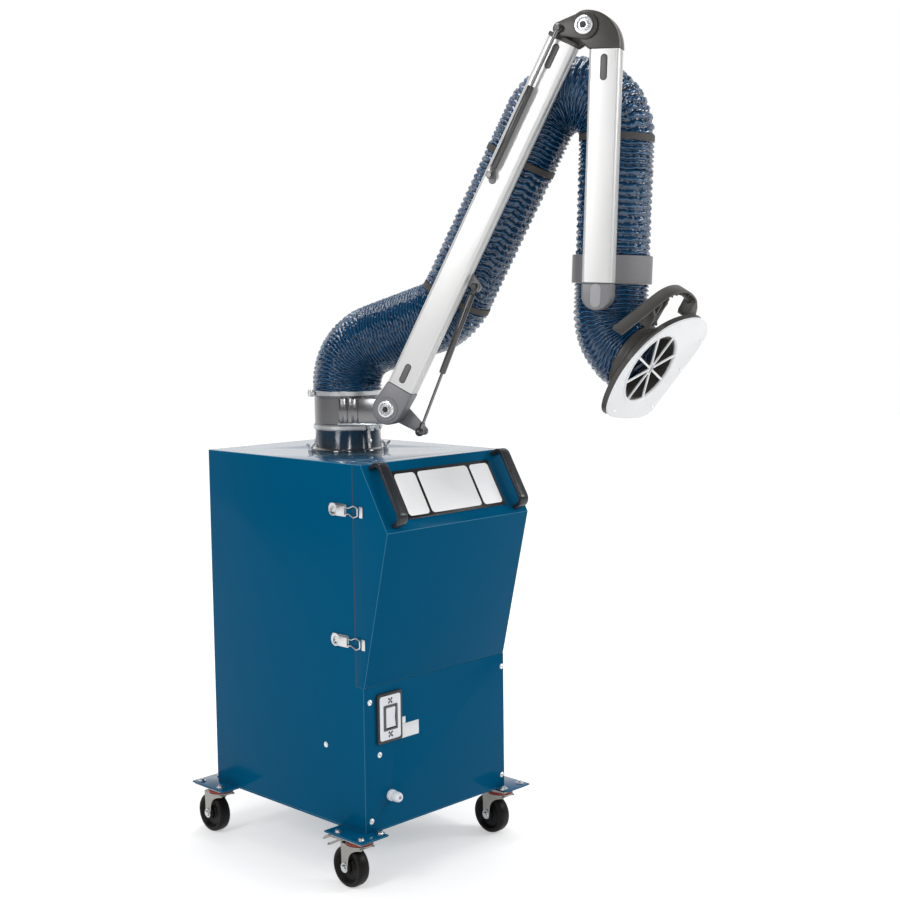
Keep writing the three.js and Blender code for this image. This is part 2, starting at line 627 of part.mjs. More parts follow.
// Arm frame: x points where the arm points, and w is the distance towards the viewer, w = -y
const arm = new THREE.Group();
arm.rotation.z = rad(ARM_HEADING);
foot.add(arm);
const zCollar = SPIGOT_HEIGHT + CLEARANCE;
const zCollarTop = zCollar + COLLAR_HEIGHT;
const wLink = HOSE_DIAMETER / 2 + LINK_GAP;
const wMiddle = wLink + LINK_THICKNESS / 2;
const wFace = wLink + LINK_THICKNESS;
const wBracket = wLink - CLEARANCE;
const boltRadius = BOLT_DIAMETER / 2;
const boltHole = boltRadius + CLEARANCE;
const pivot = [PIVOT_REACH, PIVOT_RISE];
const leverEnd = [PIVOT_REACH + LEVER_REACH, PIVOT_RISE - LEVER_DROP];

// Swivel collar with the bracket that carries the arm's pivot and the lift spring's lever
let collar = rod(ductRadius, zCollar, zCollarTop, 32);
const saddleEnd = PIVOT_REACH - BOLT_HEAD_DIAMETER / 2 - SHEET;
const saddle = polygon([[SADDLE_START, -SADDLE_SET[0]], [ductRadius, -SADDLE_SET[1]],
  [saddleEnd, -wBracket + BRACKET_THICKNESS], [saddleEnd, -wBracket], [SADDLE_START, -wBracket]]);
collar = collar.add(prismZ(saddle, zCollar + SADDLE_DROP, zCollarTop - SADDLE_DROP / 2));
const bracketHub = strapOutline(pivot, KNUCKLE_RADIUS - KNUCKLE_RELIEF, leverEnd, LEVER_RADIUS);
collar = collar.add(prismW(bracketHub, wBracket - BRACKET_THICKNESS, wBracket, 8));
collar = collar.subtract(rod(ductBore, zCollar - SHEET, zCollarTop + SHEET, 32));
collar = collar.subtract(pin(pivot[0], pivot[1], boltHole, 0, 2 * wFace));
piece(arm, 'swivel_collar', collar, GUNMETAL);

// A bolt along w with a nut at the back and a head at the front
function jointBolt(place, back, front) {
  const [x, z] = place;
  let bolt = pin(x, z, boltRadius, back - BOLT_HEAD_HEIGHT, front + BOLT_HEAD_HEIGHT);
  bolt = bolt.add(pin(x, z, BOLT_HEAD_DIAMETER / 2, front, front + BOLT_HEAD_HEIGHT, 6));
  return bolt.add(pin(x, z, BOLT_HEAD_DIAMETER / 2, back - BOLT_HEAD_HEIGHT, back, 6));
}
const wNut = wBracket - BRACKET_THICKNESS - CLEARANCE;
piece(arm, 'lower_pivot_bolt', jointBolt(pivot, wNut, wFace + CLEARANCE), ZINC);

// A link's hollow section in (square to the link, w), drawn out along x
function linkTube(start, length, offset) {
  const half = LINK_WIDTH / 2;
  const section = roundedRectangle(-wFace, -wLink, offset - half, offset + half, LINK_CORNER);
  const bore = roundedRectangle(-wFace + LINK_WALL, -wLink - LINK_WALL, offset - half + LINK_WALL,
    offset + half - LINK_WALL, LINK_CORNER - LINK_WALL);
  section.holes.push(bore);
  return prismX(section, start, start + length, 3);
}

// The tongue of a casting inside a link's end
function linkTongue(start, length, offset) {
  const half = LINK_WIDTH / 2 - LINK_WALL - CLEARANCE;
  const depth = LINK_THICKNESS / 2 - LINK_WALL - CLEARANCE;
  const corner = LINK_CORNER - LINK_WALL;
  const section = roundedRectangle(-wMiddle - depth, -wMiddle + depth, offset - half, offset + half, corner);
  return prismX(section, start, start + length, 2);
}

// Lower arm: x runs along the link from its pivot
const lowerArm = new THREE.Group();
lowerArm.position.set(pivot[0], 0, pivot[1]);
lowerArm.rotation.y = -rad(LOWER_ANGLE);
arm.add(lowerArm);
const lowerEnd = LOWER_START + LOWER_LENGTH;
const elbow = [lowerEnd + ELBOW_PAST, ELBOW_OFFSET];
const halfLink = LINK_WIDTH / 2;

const knuckleEnd = LOWER_START - CLEARANCE;
const knuckleOutline = new THREE.Shape();
knuckleOutline.moveTo(knuckleEnd, LOWER_OFFSET + halfLink);
knuckleOutline.lineTo(0, KNUCKLE_RADIUS);
knuckleOutline.absarc(0, 0, KNUCKLE_RADIUS, Math.PI / 2, Math.PI * 1.5, false);
knuckleOutline.lineTo(knuckleEnd, LOWER_OFFSET - halfLink);
let lowerKnuckle = prismW(knuckleOutline, wLink, wFace, 8);
lowerKnuckle = lowerKnuckle.add(linkTongue(knuckleEnd - SHEET, SPIGOT_LENGTH, LOWER_OFFSET));
lowerKnuckle = lowerKnuckle.subtract(pin(0, 0, boltHole, 0, 2 * wFace));
piece(lowerArm, 'lower_knuckle', lowerKnuckle, GREY_CASTING);
piece(lowerArm, 'lower_link_tube', linkTube(LOWER_START, LOWER_LENGTH, LOWER_OFFSET), PALE_ALUMINIUM);

const capStart = lowerEnd + CLEARANCE;
const wHalf = wMiddle - CLEARANCE;
const capOutline = new THREE.Shape();
capOutline.moveTo(capStart, LOWER_OFFSET - halfLink);
capOutline.lineTo(elbow[0], elbow[1] - ELBOW_RADIUS);
capOutline.absarc(elbow[0], elbow[1], ELBOW_RADIUS, -Math.PI / 2, Math.PI / 3, false);
capOutline.lineTo(capStart + CAP_PLATE, LOWER_OFFSET + halfLink);
capOutline.lineTo(capStart, LOWER_OFFSET + halfLink);
let topCap = prismW(capOutline, wLink, wHalf, 8);
topCap = topCap.add(prismW(roundedRectangle(capStart, capStart + CAP_PLATE, LOWER_OFFSET - halfLink,
  LOWER_OFFSET + halfLink, 3), wLink, wFace, 2));
topCap = topCap.add(linkTongue(capStart + SHEET - SPIGOT_LENGTH, SPIGOT_LENGTH, LOWER_OFFSET));
topCap = topCap.subtract(pin(elbow[0], elbow[1], boltHole, 0, 2 * wFace));
piece(lowerArm, 'lower_link_cap', topCap, DARK_PLASTIC);
const wLever = wFace + CLEARANCE;
const wLeverFace = wLever + ELBOW_LEVER_THICKNESS;
piece(lowerArm, 'elbow_bolt', jointBolt(elbow, wLink - CLEARANCE, wLeverFace + CLEARANCE), ZINC);

// Upper arm: hangs from the elbow, with z along it
const upperArm = new THREE.Group();
upperArm.position.set(elbow[0], 0, elbow[1]);
upperArm.rotation.y = rad(LOWER_ANGLE + UPPER_TILT);
lowerArm.add(upperArm);
const upperEnd = UPPER_START + UPPER_LENGTH;
const knuckleTop = -UPPER_START + CLEARANCE;
const wKnuckle = wMiddle + CLEARANCE;

const domeOutline = new THREE.Shape();
domeOutline.moveTo(UPPER_OFFSET - halfLink, knuckleTop);
domeOutline.lineTo(UPPER_OFFSET + halfLink, knuckleTop);
domeOutline.bezierCurveTo(UPPER_OFFSET + halfLink, 0, UPPER_OFFSET, ELBOW_RADIUS, 0, ELBOW_RADIUS);
domeOutline.lineTo(-ELBOW_RADIUS, 0);
let elbowKnuckle = prismW(domeOutline, wLink, wKnuckle, 8);
elbowKnuckle = elbowKnuckle.subtract(pin(0, 0, ELBOW_RADIUS + KNUCKLE_RELIEF, 0, wKnuckle + SHEET, 24));
elbowKnuckle = elbowKnuckle.subtract(block(-2 * ELBOW_RADIUS, 0, -wFace, 0,
  -2 * UPPER_START, 2 * ELBOW_RADIUS));
elbowKnuckle = elbowKnuckle.add(prismW(domeOutline, wKnuckle, wFace, 8));
elbowKnuckle = elbowKnuckle.add(pin(0, 0, ELBOW_RADIUS, wKnuckle, wFace, 24));
const elbowBoss = ELBOW_BOSS_DIAMETER / 2;
const elbowStrap = strapOutline([0, 0], elbowBoss, ELBOW_LEVER, STUD_DIAMETER);
elbowKnuckle = elbowKnuckle.add(prismW(elbowStrap, wFace + CLEARANCE, wLeverFace, 8));
elbowKnuckle = elbowKnuckle.add(pin(0, 0, elbowBoss, wKnuckle, wLeverFace, 24));

// The link section stood upright: the lower link's tube turned so that it hangs down
function hanging(manifold) {
  return manifold.rotate([0, 90, 0]);
}
elbowKnuckle = elbowKnuckle.add(hanging(linkTongue(UPPER_START - SHEET, SPIGOT_LENGTH, UPPER_OFFSET)));
elbowKnuckle = elbowKnuckle.subtract(pin(0, 0, boltHole, 0, 2 * wFace));
piece(upperArm, 'elbow_knuckle', elbowKnuckle, DARK_PLASTIC);
const upperTube = hanging(linkTube(UPPER_START, UPPER_LENGTH, UPPER_OFFSET));
piece(upperArm, 'upper_link_tube', upperTube, PALE_ALUMINIUM);

const capTop = -upperEnd - CLEARANCE;
const endOutline = new THREE.Shape();
endOutline.moveTo(UPPER_OFFSET - halfLink, capTop);
endOutline.lineTo(UPPER_OFFSET - halfLink, capTop - END_CAP_LENGTH + halfLink);
endOutline.absarc(UPPER_OFFSET, capTop - END_CAP_LENGTH + halfLink, halfLink, Math.PI, 2 * Math.PI, false);
endOutline.lineTo(UPPER_OFFSET + halfLink, capTop);
let endCap = prismW(endOutline, wLink, wFace, 10);
const capTongue = linkTongue(upperEnd + CLEARANCE + SHEET - SPIGOT_LENGTH, SPIGOT_LENGTH, UPPER_OFFSET);
endCap = endCap.add(hanging(capTongue));
piece(upperArm, 'upper_link_cap', endCap, GREY_CASTING);

// Hose ring: a duct piece on the upper link with an inner spider for the hood's stem
const zRing = RING_SETBACK - UPPER_START - UPPER_LENGTH;
const zRingEnd = zRing - RING_HEIGHT;
const zSpider = (zRing + zRingEnd) / 2 + SPIDER_HEIGHT / 2;
const ringRadius = RING_DIAMETER / 2;
let ring = turned([[ductBore, zRingEnd], [ringRadius, zRingEnd], [ringRadius, zRing], [ductBore, zRing]]);
ring = ring.subtract(block(-RING_DIAMETER, RING_DIAMETER, -RING_DIAMETER, -wBracket,
  zRingEnd - SHEET, zRing + SHEET));
const spiderReach = ductBore + DUCT_WALL / 2;
const spiderHalf = SPIDER_WIDTH / 2;
const zSpiderFoot = zSpider - SPIDER_HEIGHT;
ring = ring.add(block(-spiderReach, spiderReach, -spiderHalf, spiderHalf, zSpiderFoot, zSpider));
ring = ring.add(block(-spiderHalf, spiderHalf, -spiderReach, spiderReach, zSpiderFoot, zSpider));
ring = ring.add(rod(BOSS_DIAMETER / 2, zSpiderFoot, zSpider));
const stemHole = STEM_DIAMETER / 2 + CLEARANCE;
ring = ring.subtract(rod(stemHole, zSpiderFoot - SPIDER_HEIGHT, zSpider + SPIDER_HEIGHT));
piece(upperArm, 'hose_ring', ring.translate([UPPER_OFFSET, 0, 0]), GREY_CASTING);

// Gimbal: the stem hangs in the spider, turns with the hood and ends in the tilt pin's eye
const gimbal = new THREE.Group();
gimbal.position.set(UPPER_OFFSET, 0, zRingEnd);
gimbal.rotation.z = -rad(HOOD_TURN);
upperArm.add(gimbal);
const stemRadius = STEM_DIAMETER / 2;
const headFoot = zSpider - zRingEnd + CLEARANCE;
const pinReach = stemRadius + CLEARANCE + CHEEK_THICKNESS;
let stem = rod(stemRadius, -STEM_LENGTH, headFoot + STEM_HEAD_HEIGHT / 2);
stem = stem.add(rod(STEM_HEAD_DIAMETER / 2, headFoot, headFoot + STEM_HEAD_HEIGHT));
stem = stem.add(pin(0, -STEM_LENGTH, STEM_EYE_DIAMETER / 2, -stemRadius, stemRadius));
stem = stem.add(pin(0, -STEM_LENGTH, stemRadius, -pinReach, pinReach));
piece(gimbal, 'hood_stem', stem, ZINC);

// Hood: x runs out through its face, from the middle of the face
const hood = new THREE.Group();
hood.position.set(0, 0, -STEM_LENGTH);
hood.rotation.y = rad(HOOD_TILT) - rad(UPPER_TILT);
gimbal.add(hood);
const hoodFace = new THREE.Group();
hoodFace.position.set(HOOD_REACH, 0, 0);
hood.add(hoodFace);

// Face: a round side behind, a long straight edge across the front corner
const faceOutline = new THREE.Shape();
faceOutline.moveTo(...FACE_START);
for (const curve of [FACE_TOP, FACE_CORNER, FACE_SHOULDER]) {
  faceOutline.bezierCurveTo(...curve.flat());
}
faceOutline.lineTo(...FACE_EDGE_END);
for (const curve of [FACE_TOE, FACE_BOTTOM, FACE_HEEL]) {
  faceOutline.bezierCurveTo(...curve.flat());
}

const grilleRadius = GRILLE_DIAMETER / 2;
const hubOuter = GRILLE_HUB_DIAMETER / 2;
let face = prismX(faceOutline, -FACE_THICKNESS, 0, 4);
const faceHole = rod(grilleRadius, -2 * FACE_THICKNESS, FACE_THICKNESS, 24);
face = face.subtract(faceHole.rotate([0, 90, 0]));
for (let i = 0; i < SPOKE_COUNT; i += 1) {
  const spoke = block(-FACE_THICKNESS, 0, hubOuter - GRILLE_HUB_WALL / 2, grilleRadius + SHEET,
    -SPOKE_WIDTH / 2, SPOKE_WIDTH / 2);
  face = face.add(spoke.rotate([i * 360 / SPOKE_COUNT + 180 / SPOKE_COUNT, 0, 0]));
}
const hubInner = hubOuter - GRILLE_HUB_WALL;
face = face.add(turned([[hubInner, -FACE_THICKNESS], [hubOuter, -FACE_THICKNESS], [hubOuter, 0],
  [hubInner, 0]], 16).rotate([0, 90, 0]));
piece(hoodFace, 'hood_face', face, WHITE_PLASTIC);

// Back shell: rim, cone and neck, with cheeks on a cross bar that hold the tilt pin
const rimFront = -FACE_THICKNESS - CLEARANCE;
const rimBack = rimFront - RIM_THICKNESS;
let backShell = prismX(faceOutline, rimBack, rimFront, 4);
const coneBack = rimBack - RIM_THICKNESS;
const neck = turned([[0, -NECK_LENGTH], [ductRadius, -NECK_LENGTH], [ductRadius, coneBack],
  [CONE_DIAMETER / 2, rimFront], [0, rimFront]]);
backShell = backShell.add(neck.rotate([0, 90, 0]));
backShell = backShell.subtract(rod(ductBore, -2 * NECK_LENGTH, SHEET, 24).rotate([0, 90, 0]));
const barBack = -NECK_LENGTH + SHEET;
backShell = backShell.add(block(barBack, barBack + SPIDER_WIDTH, -spiderReach, spiderReach,
  -SPIDER_HEIGHT / 2, SPIDER_HEIGHT / 2));
const cheekOutline = strapOutline([-HOOD_REACH, 0], STEM_EYE_DIAMETER / 2, [barBack, 0], SPIDER_HEIGHT / 2);
const cheekGap = stemRadius + CLEARANCE;
for (const near of [cheekGap, -cheekGap - CHEEK_THICKNESS]) {
  backShell = backShell.add(prismW(cheekOutline, near, near + CHEEK_THICKNESS, 8));
}
backShell = backShell.subtract(pin(-HOOD_REACH, 0, stemRadius + CLEARANCE, -HOOD_REACH, HOOD_REACH));
piece(hoodFace, 'hood_shell', backShell, DARK_PLASTIC);

// Grab handle: a strap over the rim with a foot at one end, a strut in the middle and a free end
const strapRoute = new THREE.CatmullRomCurve3(GRIP_ROUTE.map(([y, z]) => new THREE.Vector3(0, y, z)));
const strapSteps = 14;
const upperEdge = [];
const lowerEdge = [];
for (let i = 0; i <= strapSteps; i += 1) {
  const at = strapRoute.getPointAt(i / strapSteps);
  const along = strapRoute.getTangentAt(i / strapSteps);
  upperEdge.push([at.y - along.z * GRIP_THICKNESS / 2, at.z + along.y * GRIP_THICKNESS / 2]);
  lowerEdge.unshift([at.y + along.z * GRIP_THICKNESS / 2, at.z - along.y * GRIP_THICKNESS / 2]);
}
const gripBack = rimBack - GRIP_SET - GRIP_WIDTH / 2;
let grip = prismX(polygon([...upperEdge, ...lowerEdge]), gripBack, gripBack + GRIP_WIDTH);
for (const outline of [GRIP_FOOT, GRIP_STRUT]) {
  grip = grip.add(prismX(polygon(outline), gripBack, rimBack - CLEARANCE));
}
const padRadius = ductRadius + CLEARANCE;
const padBack = rimBack - NECK_LENGTH;
const conePad = turned([[0, padBack], [padRadius, padBack], [padRadius, coneBack],
  [CONE_DIAMETER / 2 + CLEARANCE, rimFront], [0, rimFront]]);
grip = grip.subtract(conePad.rotate([0, 90, 0]));
piece(hoodFace, 'hood_handle', grip, DARK_PLASTIC);

// Gas springs: a cylinder with its eye at one end, and a rod that slides in its bore
function springCylinder(length, boreDepth) {
  const radius = SPRING_DIAMETER / 2;
  const bore = ROD_DIAMETER / 2 + CLEARANCE;
  const neckRadius = STUD_DIAMETER / 2;
  const boreEnd = length - boreDepth;
  const cylinder = turned([[0, 0], [neckRadius, 0], [neckRadius, SPRING_EYE_DIAMETER],
    [radius, SPRING_EYE_DIAMETER], [radius, length], [bore, length], [bore, boreEnd], [0, boreEnd]], 16);
  return cylinder.rotate([0, 90, 0]);
}

function springRod(start, end) {
  return rod(ROD_DIAMETER / 2, start, end, 12).rotate([0, 90, 0]);
}

function springEye(x, w, studFrom, studTo) {
  const eye = pin(x, 0, SPRING_EYE_DIAMETER / 2, w - SPRING_EYE_WIDTH / 2, w + SPRING_EYE_WIDTH / 2, 16);
  return eye.add(pin(x, 0, STUD_DIAMETER / 2, studFrom, studTo, 12));
}

// Lift spring, between a lug under the lower link and the lever on the collar's bracket
const lever = new THREE.Vector2(LEVER_REACH, -LEVER_DROP);
lever.rotateAround(new THREE.Vector2(), -rad(LOWER_ANGLE));
const liftSpan = Math.hypot(lever.x - LIFT_SPRING_TOP[0], lever.y - LIFT_SPRING_TOP[1]);
const liftSpring = new THREE.Group();
liftSpring.position.set(LIFT_SPRING_TOP[0], 0, LIFT_SPRING_TOP[1]);
liftSpring.rotation.y = -Math.atan2(lever.y - LIFT_SPRING_TOP[1], lever.x - LIFT_SPRING_TOP[0]);
lowerArm.add(liftSpring);
let liftCylinder = springCylinder(LIFT_CYLINDER_LENGTH, LIFT_BORE_DEPTH).translate([0, -wMiddle, 0]);
const liftEye = springEye(0, wMiddle, wMiddle - SPRING_EYE_WIDTH, wMiddle + SPRING_EYE_WIDTH);
liftCylinder = liftCylinder.add(liftEye);
const lugHeight = -LIFT_SPRING_TOP[1] + LOWER_OFFSET - halfLink - 3 * CLEARANCE;
const lug = block(-SPRING_EYE_DIAMETER / 3, SPRING_EYE_DIAMETER / 3, -wMiddle - SPRING_EYE_WIDTH / 2,
  -wMiddle + SPRING_EYE_WIDTH / 2, -lugHeight, 0);
liftCylinder = liftCylinder.add(lug);
piece(liftSpring, 'lift_spring_cylinder', liftCylinder, BLACK_PLASTIC);
let liftRod = springRod(LIFT_CYLINDER_LENGTH - ROD_GUIDE, liftSpan).translate([0, -wMiddle, 0]);
liftRod = liftRod.add(springEye(liftSpan, wMiddle, wLink, wMiddle + SPRING_EYE_WIDTH));
piece(liftSpring, 'lift_spring_rod', liftRod, ZINC);

// Elbow spring, on the face of the lower link, between a foot and the elbow knuckle's lever
const elbowTurn = rad(LOWER_ANGLE + UPPER_TILT);
const leverTip = new THREE.Vector2(...ELBOW_LEVER).rotateAround(new THREE.Vector2(), -elbowTurn);
leverTip.add(new THREE.Vector2(...elbow));
const springFoot = [elbow[0] + ELBOW_SPRING_FOOT[0], ELBOW_SPRING_FOOT[1]];
const elbowSpan = Math.hypot(leverTip.x - springFoot[0], leverTip.y - springFoot[1]);
const elbowSpring = new THREE.Group();
elbowSpring.position.set(springFoot[0], 0, springFoot[1]);
elbowSpring.rotation.y = -Math.atan2(leverTip.y - springFoot[1], leverTip.x - springFoot[0]);
lowerArm.add(elbowSpring);
const wSpring = wLeverFace + CLEARANCE + SPRING_EYE_WIDTH / 2;
let elbowCylinder = springCylinder(ELBOW_CYLINDER_LENGTH, ELBOW_BORE_DEPTH).translate([0, -wSpring, 0]);
elbowCylinder = elbowCylinder.add(springEye(0, wSpring, wFace + CLEARANCE, wSpring + SPRING_EYE_WIDTH));
piece(elbowSpring, 'elbow_spring_cylinder', elbowCylinder, BLACK_PLASTIC);
let elbowRod = springRod(ELBOW_CYLINDER_LENGTH - ROD_GUIDE, elbowSpan).translate([0, -wSpring, 0]);
elbowRod = elbowRod.add(springEye(elbowSpan, wSpring, wLeverFace + CLEARANCE, wSpring + SPRING_EYE_WIDTH));
piece(elbowSpring, 'elbow_spring_rod', elbowRod, ZINC);

// Ribbed hose: rings of points along a route, crest and valley in turn, with a smooth bore
function lineMeet(p, pAngle, q, qAngle) {
  const across = Math.sin(qAngle - pAngle);
  const along = ((q.x - p.x) * Math.sin(qAngle) - (q.y - p.y) * Math.cos(qAngle)) / across;
  return new THREE.Vector2(p.x + along * Math.cos(pAngle), p.y + along * Math.sin(pAngle));
}

function roundedRoute(points, radii) {
  const route = new THREE.CurvePath();
  let from = points[0];
  radii.forEach((radius, i) => {
    const corner = points[i + 1];
    const back = points[i].clone().sub(corner).normalize();
    const ahead = points[i + 2].clone().sub(corner).normalize();
    const half = Math.acos(back.dot(ahead)) / 2;
    const bisector = back.clone().add(ahead).normalize();
    const centre = corner.clone().addScaledVector(bisector, radius / Math.sin(half));
    const first = corner.clone().addScaledVector(back, radius / Math.tan(half));
    const last = corner.clone().addScaledVector(ahead, radius / Math.tan(half));
    const turns = [first, last].map((point) => point.clone().sub(centre).angle());
    route.add(new THREE.LineCurve(from, first));
    route.add(new THREE.EllipseCurve(centre.x, centre.y, radius, radius, ...turns, back.cross(ahead) > 0));
    from = last;
  });
  route.add(new THREE.LineCurve(from, points.at(-1)));
  return route;
}

function ribbedHose(route, from, to) {
  const ribs = Math.max(3, Math.round((to - from) / RIB_PITCH));
  const positions = [];
  const index = [];
  function ringOf(length, radius) {
    const t = Math.min(1, length / route.getLength());
    const at = route.getPoint(t);
    const along = route.getTangent(t);
    for (let k = 0; k < HOSE_SIDES; k += 1) {
      const turn = 2 * Math.PI * (k + 0.5) / HOSE_SIDES;
      const out = radius * Math.cos(turn);
      positions.push(at.x - along.y * out, radius * Math.sin(turn), at.y + along.x * out);
    }
    return positions.length / 3 - HOSE_SIDES;
  }
  function band(a, b) {
    for (let k = 0; k < HOSE_SIDES; k += 1) {
      const next = (k + 1) % HOSE_SIDES;
      index.push(a + k, b + next, a + next, a + k, b + k, b + next);
    }
  }
  const outer = [];
  const bore = [];
  for (let i = 0; i <= 2 * ribs; i += 1) {
    const length = from + (to - from) * i / (2 * ribs);
    outer.push(ringOf(length, HOSE_DIAMETER / 2 - (i % 2 ? 0 : RIB_DEPTH)));
    if (i % 2 === 0) {
      bore.push(ringOf(length, HOSE_BORE / 2));
    }
  }
  outer.slice(1).forEach((ring, i) => band(outer[i], ring));
  bore.slice(1).forEach((ring, i) => band(ring, bore[i]));
  band(bore[0], outer[0]);
  band(outer.at(-1), bore.at(-1));
  const geometry = new THREE.BufferGeometry();
  geometry.setAttribute('position', new THREE.Float32BufferAttribute(positions, 3));
  geometry.setIndex(index);
  return geometry;
}

// Route from the collar over the elbow to the hose ring, in the arm frame's (x, z)
const lowerTurn = rad(LOWER_ANGLE);
const upperTurn = -Math.PI / 2 - rad(UPPER_TILT);
function onLowerArm(along, square) {
  const place = new THREE.Vector2(along, square).rotateAround(new THREE.Vector2(), lowerTurn);
  return place.add(new THREE.Vector2(...pivot));
}
function onUpperArm(x, z) {
  const place = new THREE.Vector2(x, z).rotateAround(new THREE.Vector2(), -rad(UPPER_TILT));
  return place.add(onLowerArm(...elbow));
}
const hoseStart = new THREE.Vector2(0, zCollarTop + CLEARANCE);
const footCorner = new THREE.Vector2(0, zCollarTop + HOSE_RISE);
const lowerLine = onLowerArm(0, LOWER_OFFSET + HOSE_SHIFT);
const linkCorner = lineMeet(footCorner, rad(HOSE_SLOPE), lowerLine, lowerTurn);
const hoseEnd = onUpperArm(UPPER_OFFSET, zRing + CLEARANCE);
const crownCorner = lineMeet(lowerLine, lowerTurn, hoseEnd, upperTurn);
const hoseRoute = roundedRoute([hoseStart, footCorner, linkCorner, crownCorner, hoseEnd],
  [FOOT_BEND_RADIUS, LINK_BEND_RADIUS, CROWN_RADIUS]);
const [, , , linkBendEnd, crownStart, crownEnd, hoseLength] = hoseRoute.getCurveLengths();
const cuts = [0, linkBendEnd + BEND_TAIL, crownStart - CROWN_LEAD, crownEnd + CROWN_TAIL, hoseLength];
['hose_foot', 'hose_lower', 'hose_elbow', 'hose_upper'].forEach((name, i) => {
  piece(arm, name, ribbedHose(hoseRoute, cuts[i] + (i ? CLEARANCE : 0), cuts[i + 1]), NAVY_HOSE);
});

// Route from the ring to the hood's neck, in the gimbal's (x, z)
const hoodLine = -rad(HOOD_TILT) + rad(UPPER_TILT);
const tiltPlace = new THREE.Vector2(0, -STEM_LENGTH);
const neckReach = HOOD_REACH - NECK_LENGTH - CLEARANCE;
const hoodAxis = new THREE.Vector2(Math.cos(hoodLine), Math.sin(hoodLine));
const neckEnd = tiltPlace.clone().addScaledVector(hoodAxis, neckReach);
const hoodRoute = roundedRoute([new THREE.Vector2(0, -CLEARANCE), tiltPlace, neckEnd], [HOOD_BEND_RADIUS]);
piece(gimbal, 'hose_hood', ribbedHose(hoodRoute, 0, hoodRoute.getLength()), NAVY_HOSE);

// Origin: under the middle of the whole object's box, on the floor
part.updateMatrixWorld(true);
const middle = new THREE.Box3().setFromObject(part, true).getCenter(new THREE.Vector3());
part.position.set(-middle.x, -middle.y, 0);
part.updateMatrixWorld(true);

export default part;
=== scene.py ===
# Mobile fume filter cabinet on castors with a jointed extraction arm on its top.
import json
import math

import bmesh
import bpy
from mathutils import Matrix, Vector

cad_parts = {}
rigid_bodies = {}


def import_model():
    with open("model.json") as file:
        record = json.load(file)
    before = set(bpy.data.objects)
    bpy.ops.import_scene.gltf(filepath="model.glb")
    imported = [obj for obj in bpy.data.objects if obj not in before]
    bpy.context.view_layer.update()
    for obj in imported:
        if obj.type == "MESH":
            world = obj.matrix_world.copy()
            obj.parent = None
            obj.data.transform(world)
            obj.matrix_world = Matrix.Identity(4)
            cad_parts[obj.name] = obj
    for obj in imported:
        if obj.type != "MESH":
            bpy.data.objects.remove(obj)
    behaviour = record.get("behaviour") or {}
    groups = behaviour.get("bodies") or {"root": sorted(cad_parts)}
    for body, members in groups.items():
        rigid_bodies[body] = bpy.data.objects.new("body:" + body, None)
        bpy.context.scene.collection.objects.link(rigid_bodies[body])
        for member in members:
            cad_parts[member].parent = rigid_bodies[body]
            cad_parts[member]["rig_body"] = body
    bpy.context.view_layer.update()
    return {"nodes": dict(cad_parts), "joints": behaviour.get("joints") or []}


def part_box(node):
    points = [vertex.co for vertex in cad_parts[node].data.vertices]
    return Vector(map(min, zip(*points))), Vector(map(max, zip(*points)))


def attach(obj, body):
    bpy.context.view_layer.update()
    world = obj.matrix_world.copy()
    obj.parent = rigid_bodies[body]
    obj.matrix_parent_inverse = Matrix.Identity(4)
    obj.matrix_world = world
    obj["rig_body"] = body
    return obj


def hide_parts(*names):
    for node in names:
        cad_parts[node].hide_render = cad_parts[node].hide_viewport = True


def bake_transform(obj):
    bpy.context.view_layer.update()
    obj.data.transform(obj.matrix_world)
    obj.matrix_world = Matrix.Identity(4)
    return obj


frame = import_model()

# Studio: a pale floor in a white surround, large soft lamps at the left, at the right and above,
# and two narrow ones in front. The camera stands at the height and angle of the photograph.
scene = bpy.context.scene
scene.view_settings.view_transform = "Standard"
CAMERA_PLACE = Vector((-2.4832, -2.4918, 1.3570))
CAMERA_YAW = math.radians(45.24)
CAMERA_PITCH = math.radians(-5.8)
CAMERA_ROLL = math.radians(-0.72)
CAMERA_LENS = 57.87
level_reach = math.cos(CAMERA_PITCH)
ahead = Vector((math.sin(CAMERA_YAW) * level_reach, math.cos(CAMERA_YAW) * level_reach,
                math.sin(CAMERA_PITCH)))
level = Vector((math.cos(CAMERA_YAW), -math.sin(CAMERA_YAW), 0.0))
upright = level.cross(ahead)
across = level * math.cos(CAMERA_ROLL) + upright * math.sin(CAMERA_ROLL)
upward = upright * math.cos(CAMERA_ROLL) - level * math.sin(CAMERA_ROLL)


def stood(name, data):
    """A new object in the scene."""
    thing = bpy.data.objects.new(name, data)
    scene.collection.objects.link(thing)
    return thing


camera = stood("camera", bpy.data.cameras.new("camera"))
camera.data.lens = CAMERA_LENS
camera_turn = Matrix((across, upward, -ahead)).transposed().to_4x4()
camera.matrix_world = Matrix.Translation(CAMERA_PLACE) @ camera_turn
scene.camera = camera

WHITE = (1.0, 1.0, 1.0, 1.0)
SURROUND_LIGHT = 0.48
SURROUND_DARK_SIDE = 0.10
BEHIND = (0.707, 0.707, 0.0)


def wired(tree, node, inputs):
    """The node with a value or a link on each of these inputs."""
    for key, value in inputs.items():
        if isinstance(value, bpy.types.NodeSocket):
            tree.links.new(value, node.inputs[key])
        else:
            node.inputs[key].default_value = value
    return node


def node_in(tree, kind, inputs, **settings):
    """A new node with these settings and inputs."""
    node = tree.nodes.new(kind)
    for key, value in settings.items():
        setattr(node, key, value)
    return wired(tree, node, inputs)


def math_in(tree, operation, *values):
    """The result of one sum on numbers or sockets."""
    return node_in(tree, "ShaderNodeMath", dict(enumerate(values)), operation=operation).outputs[0]


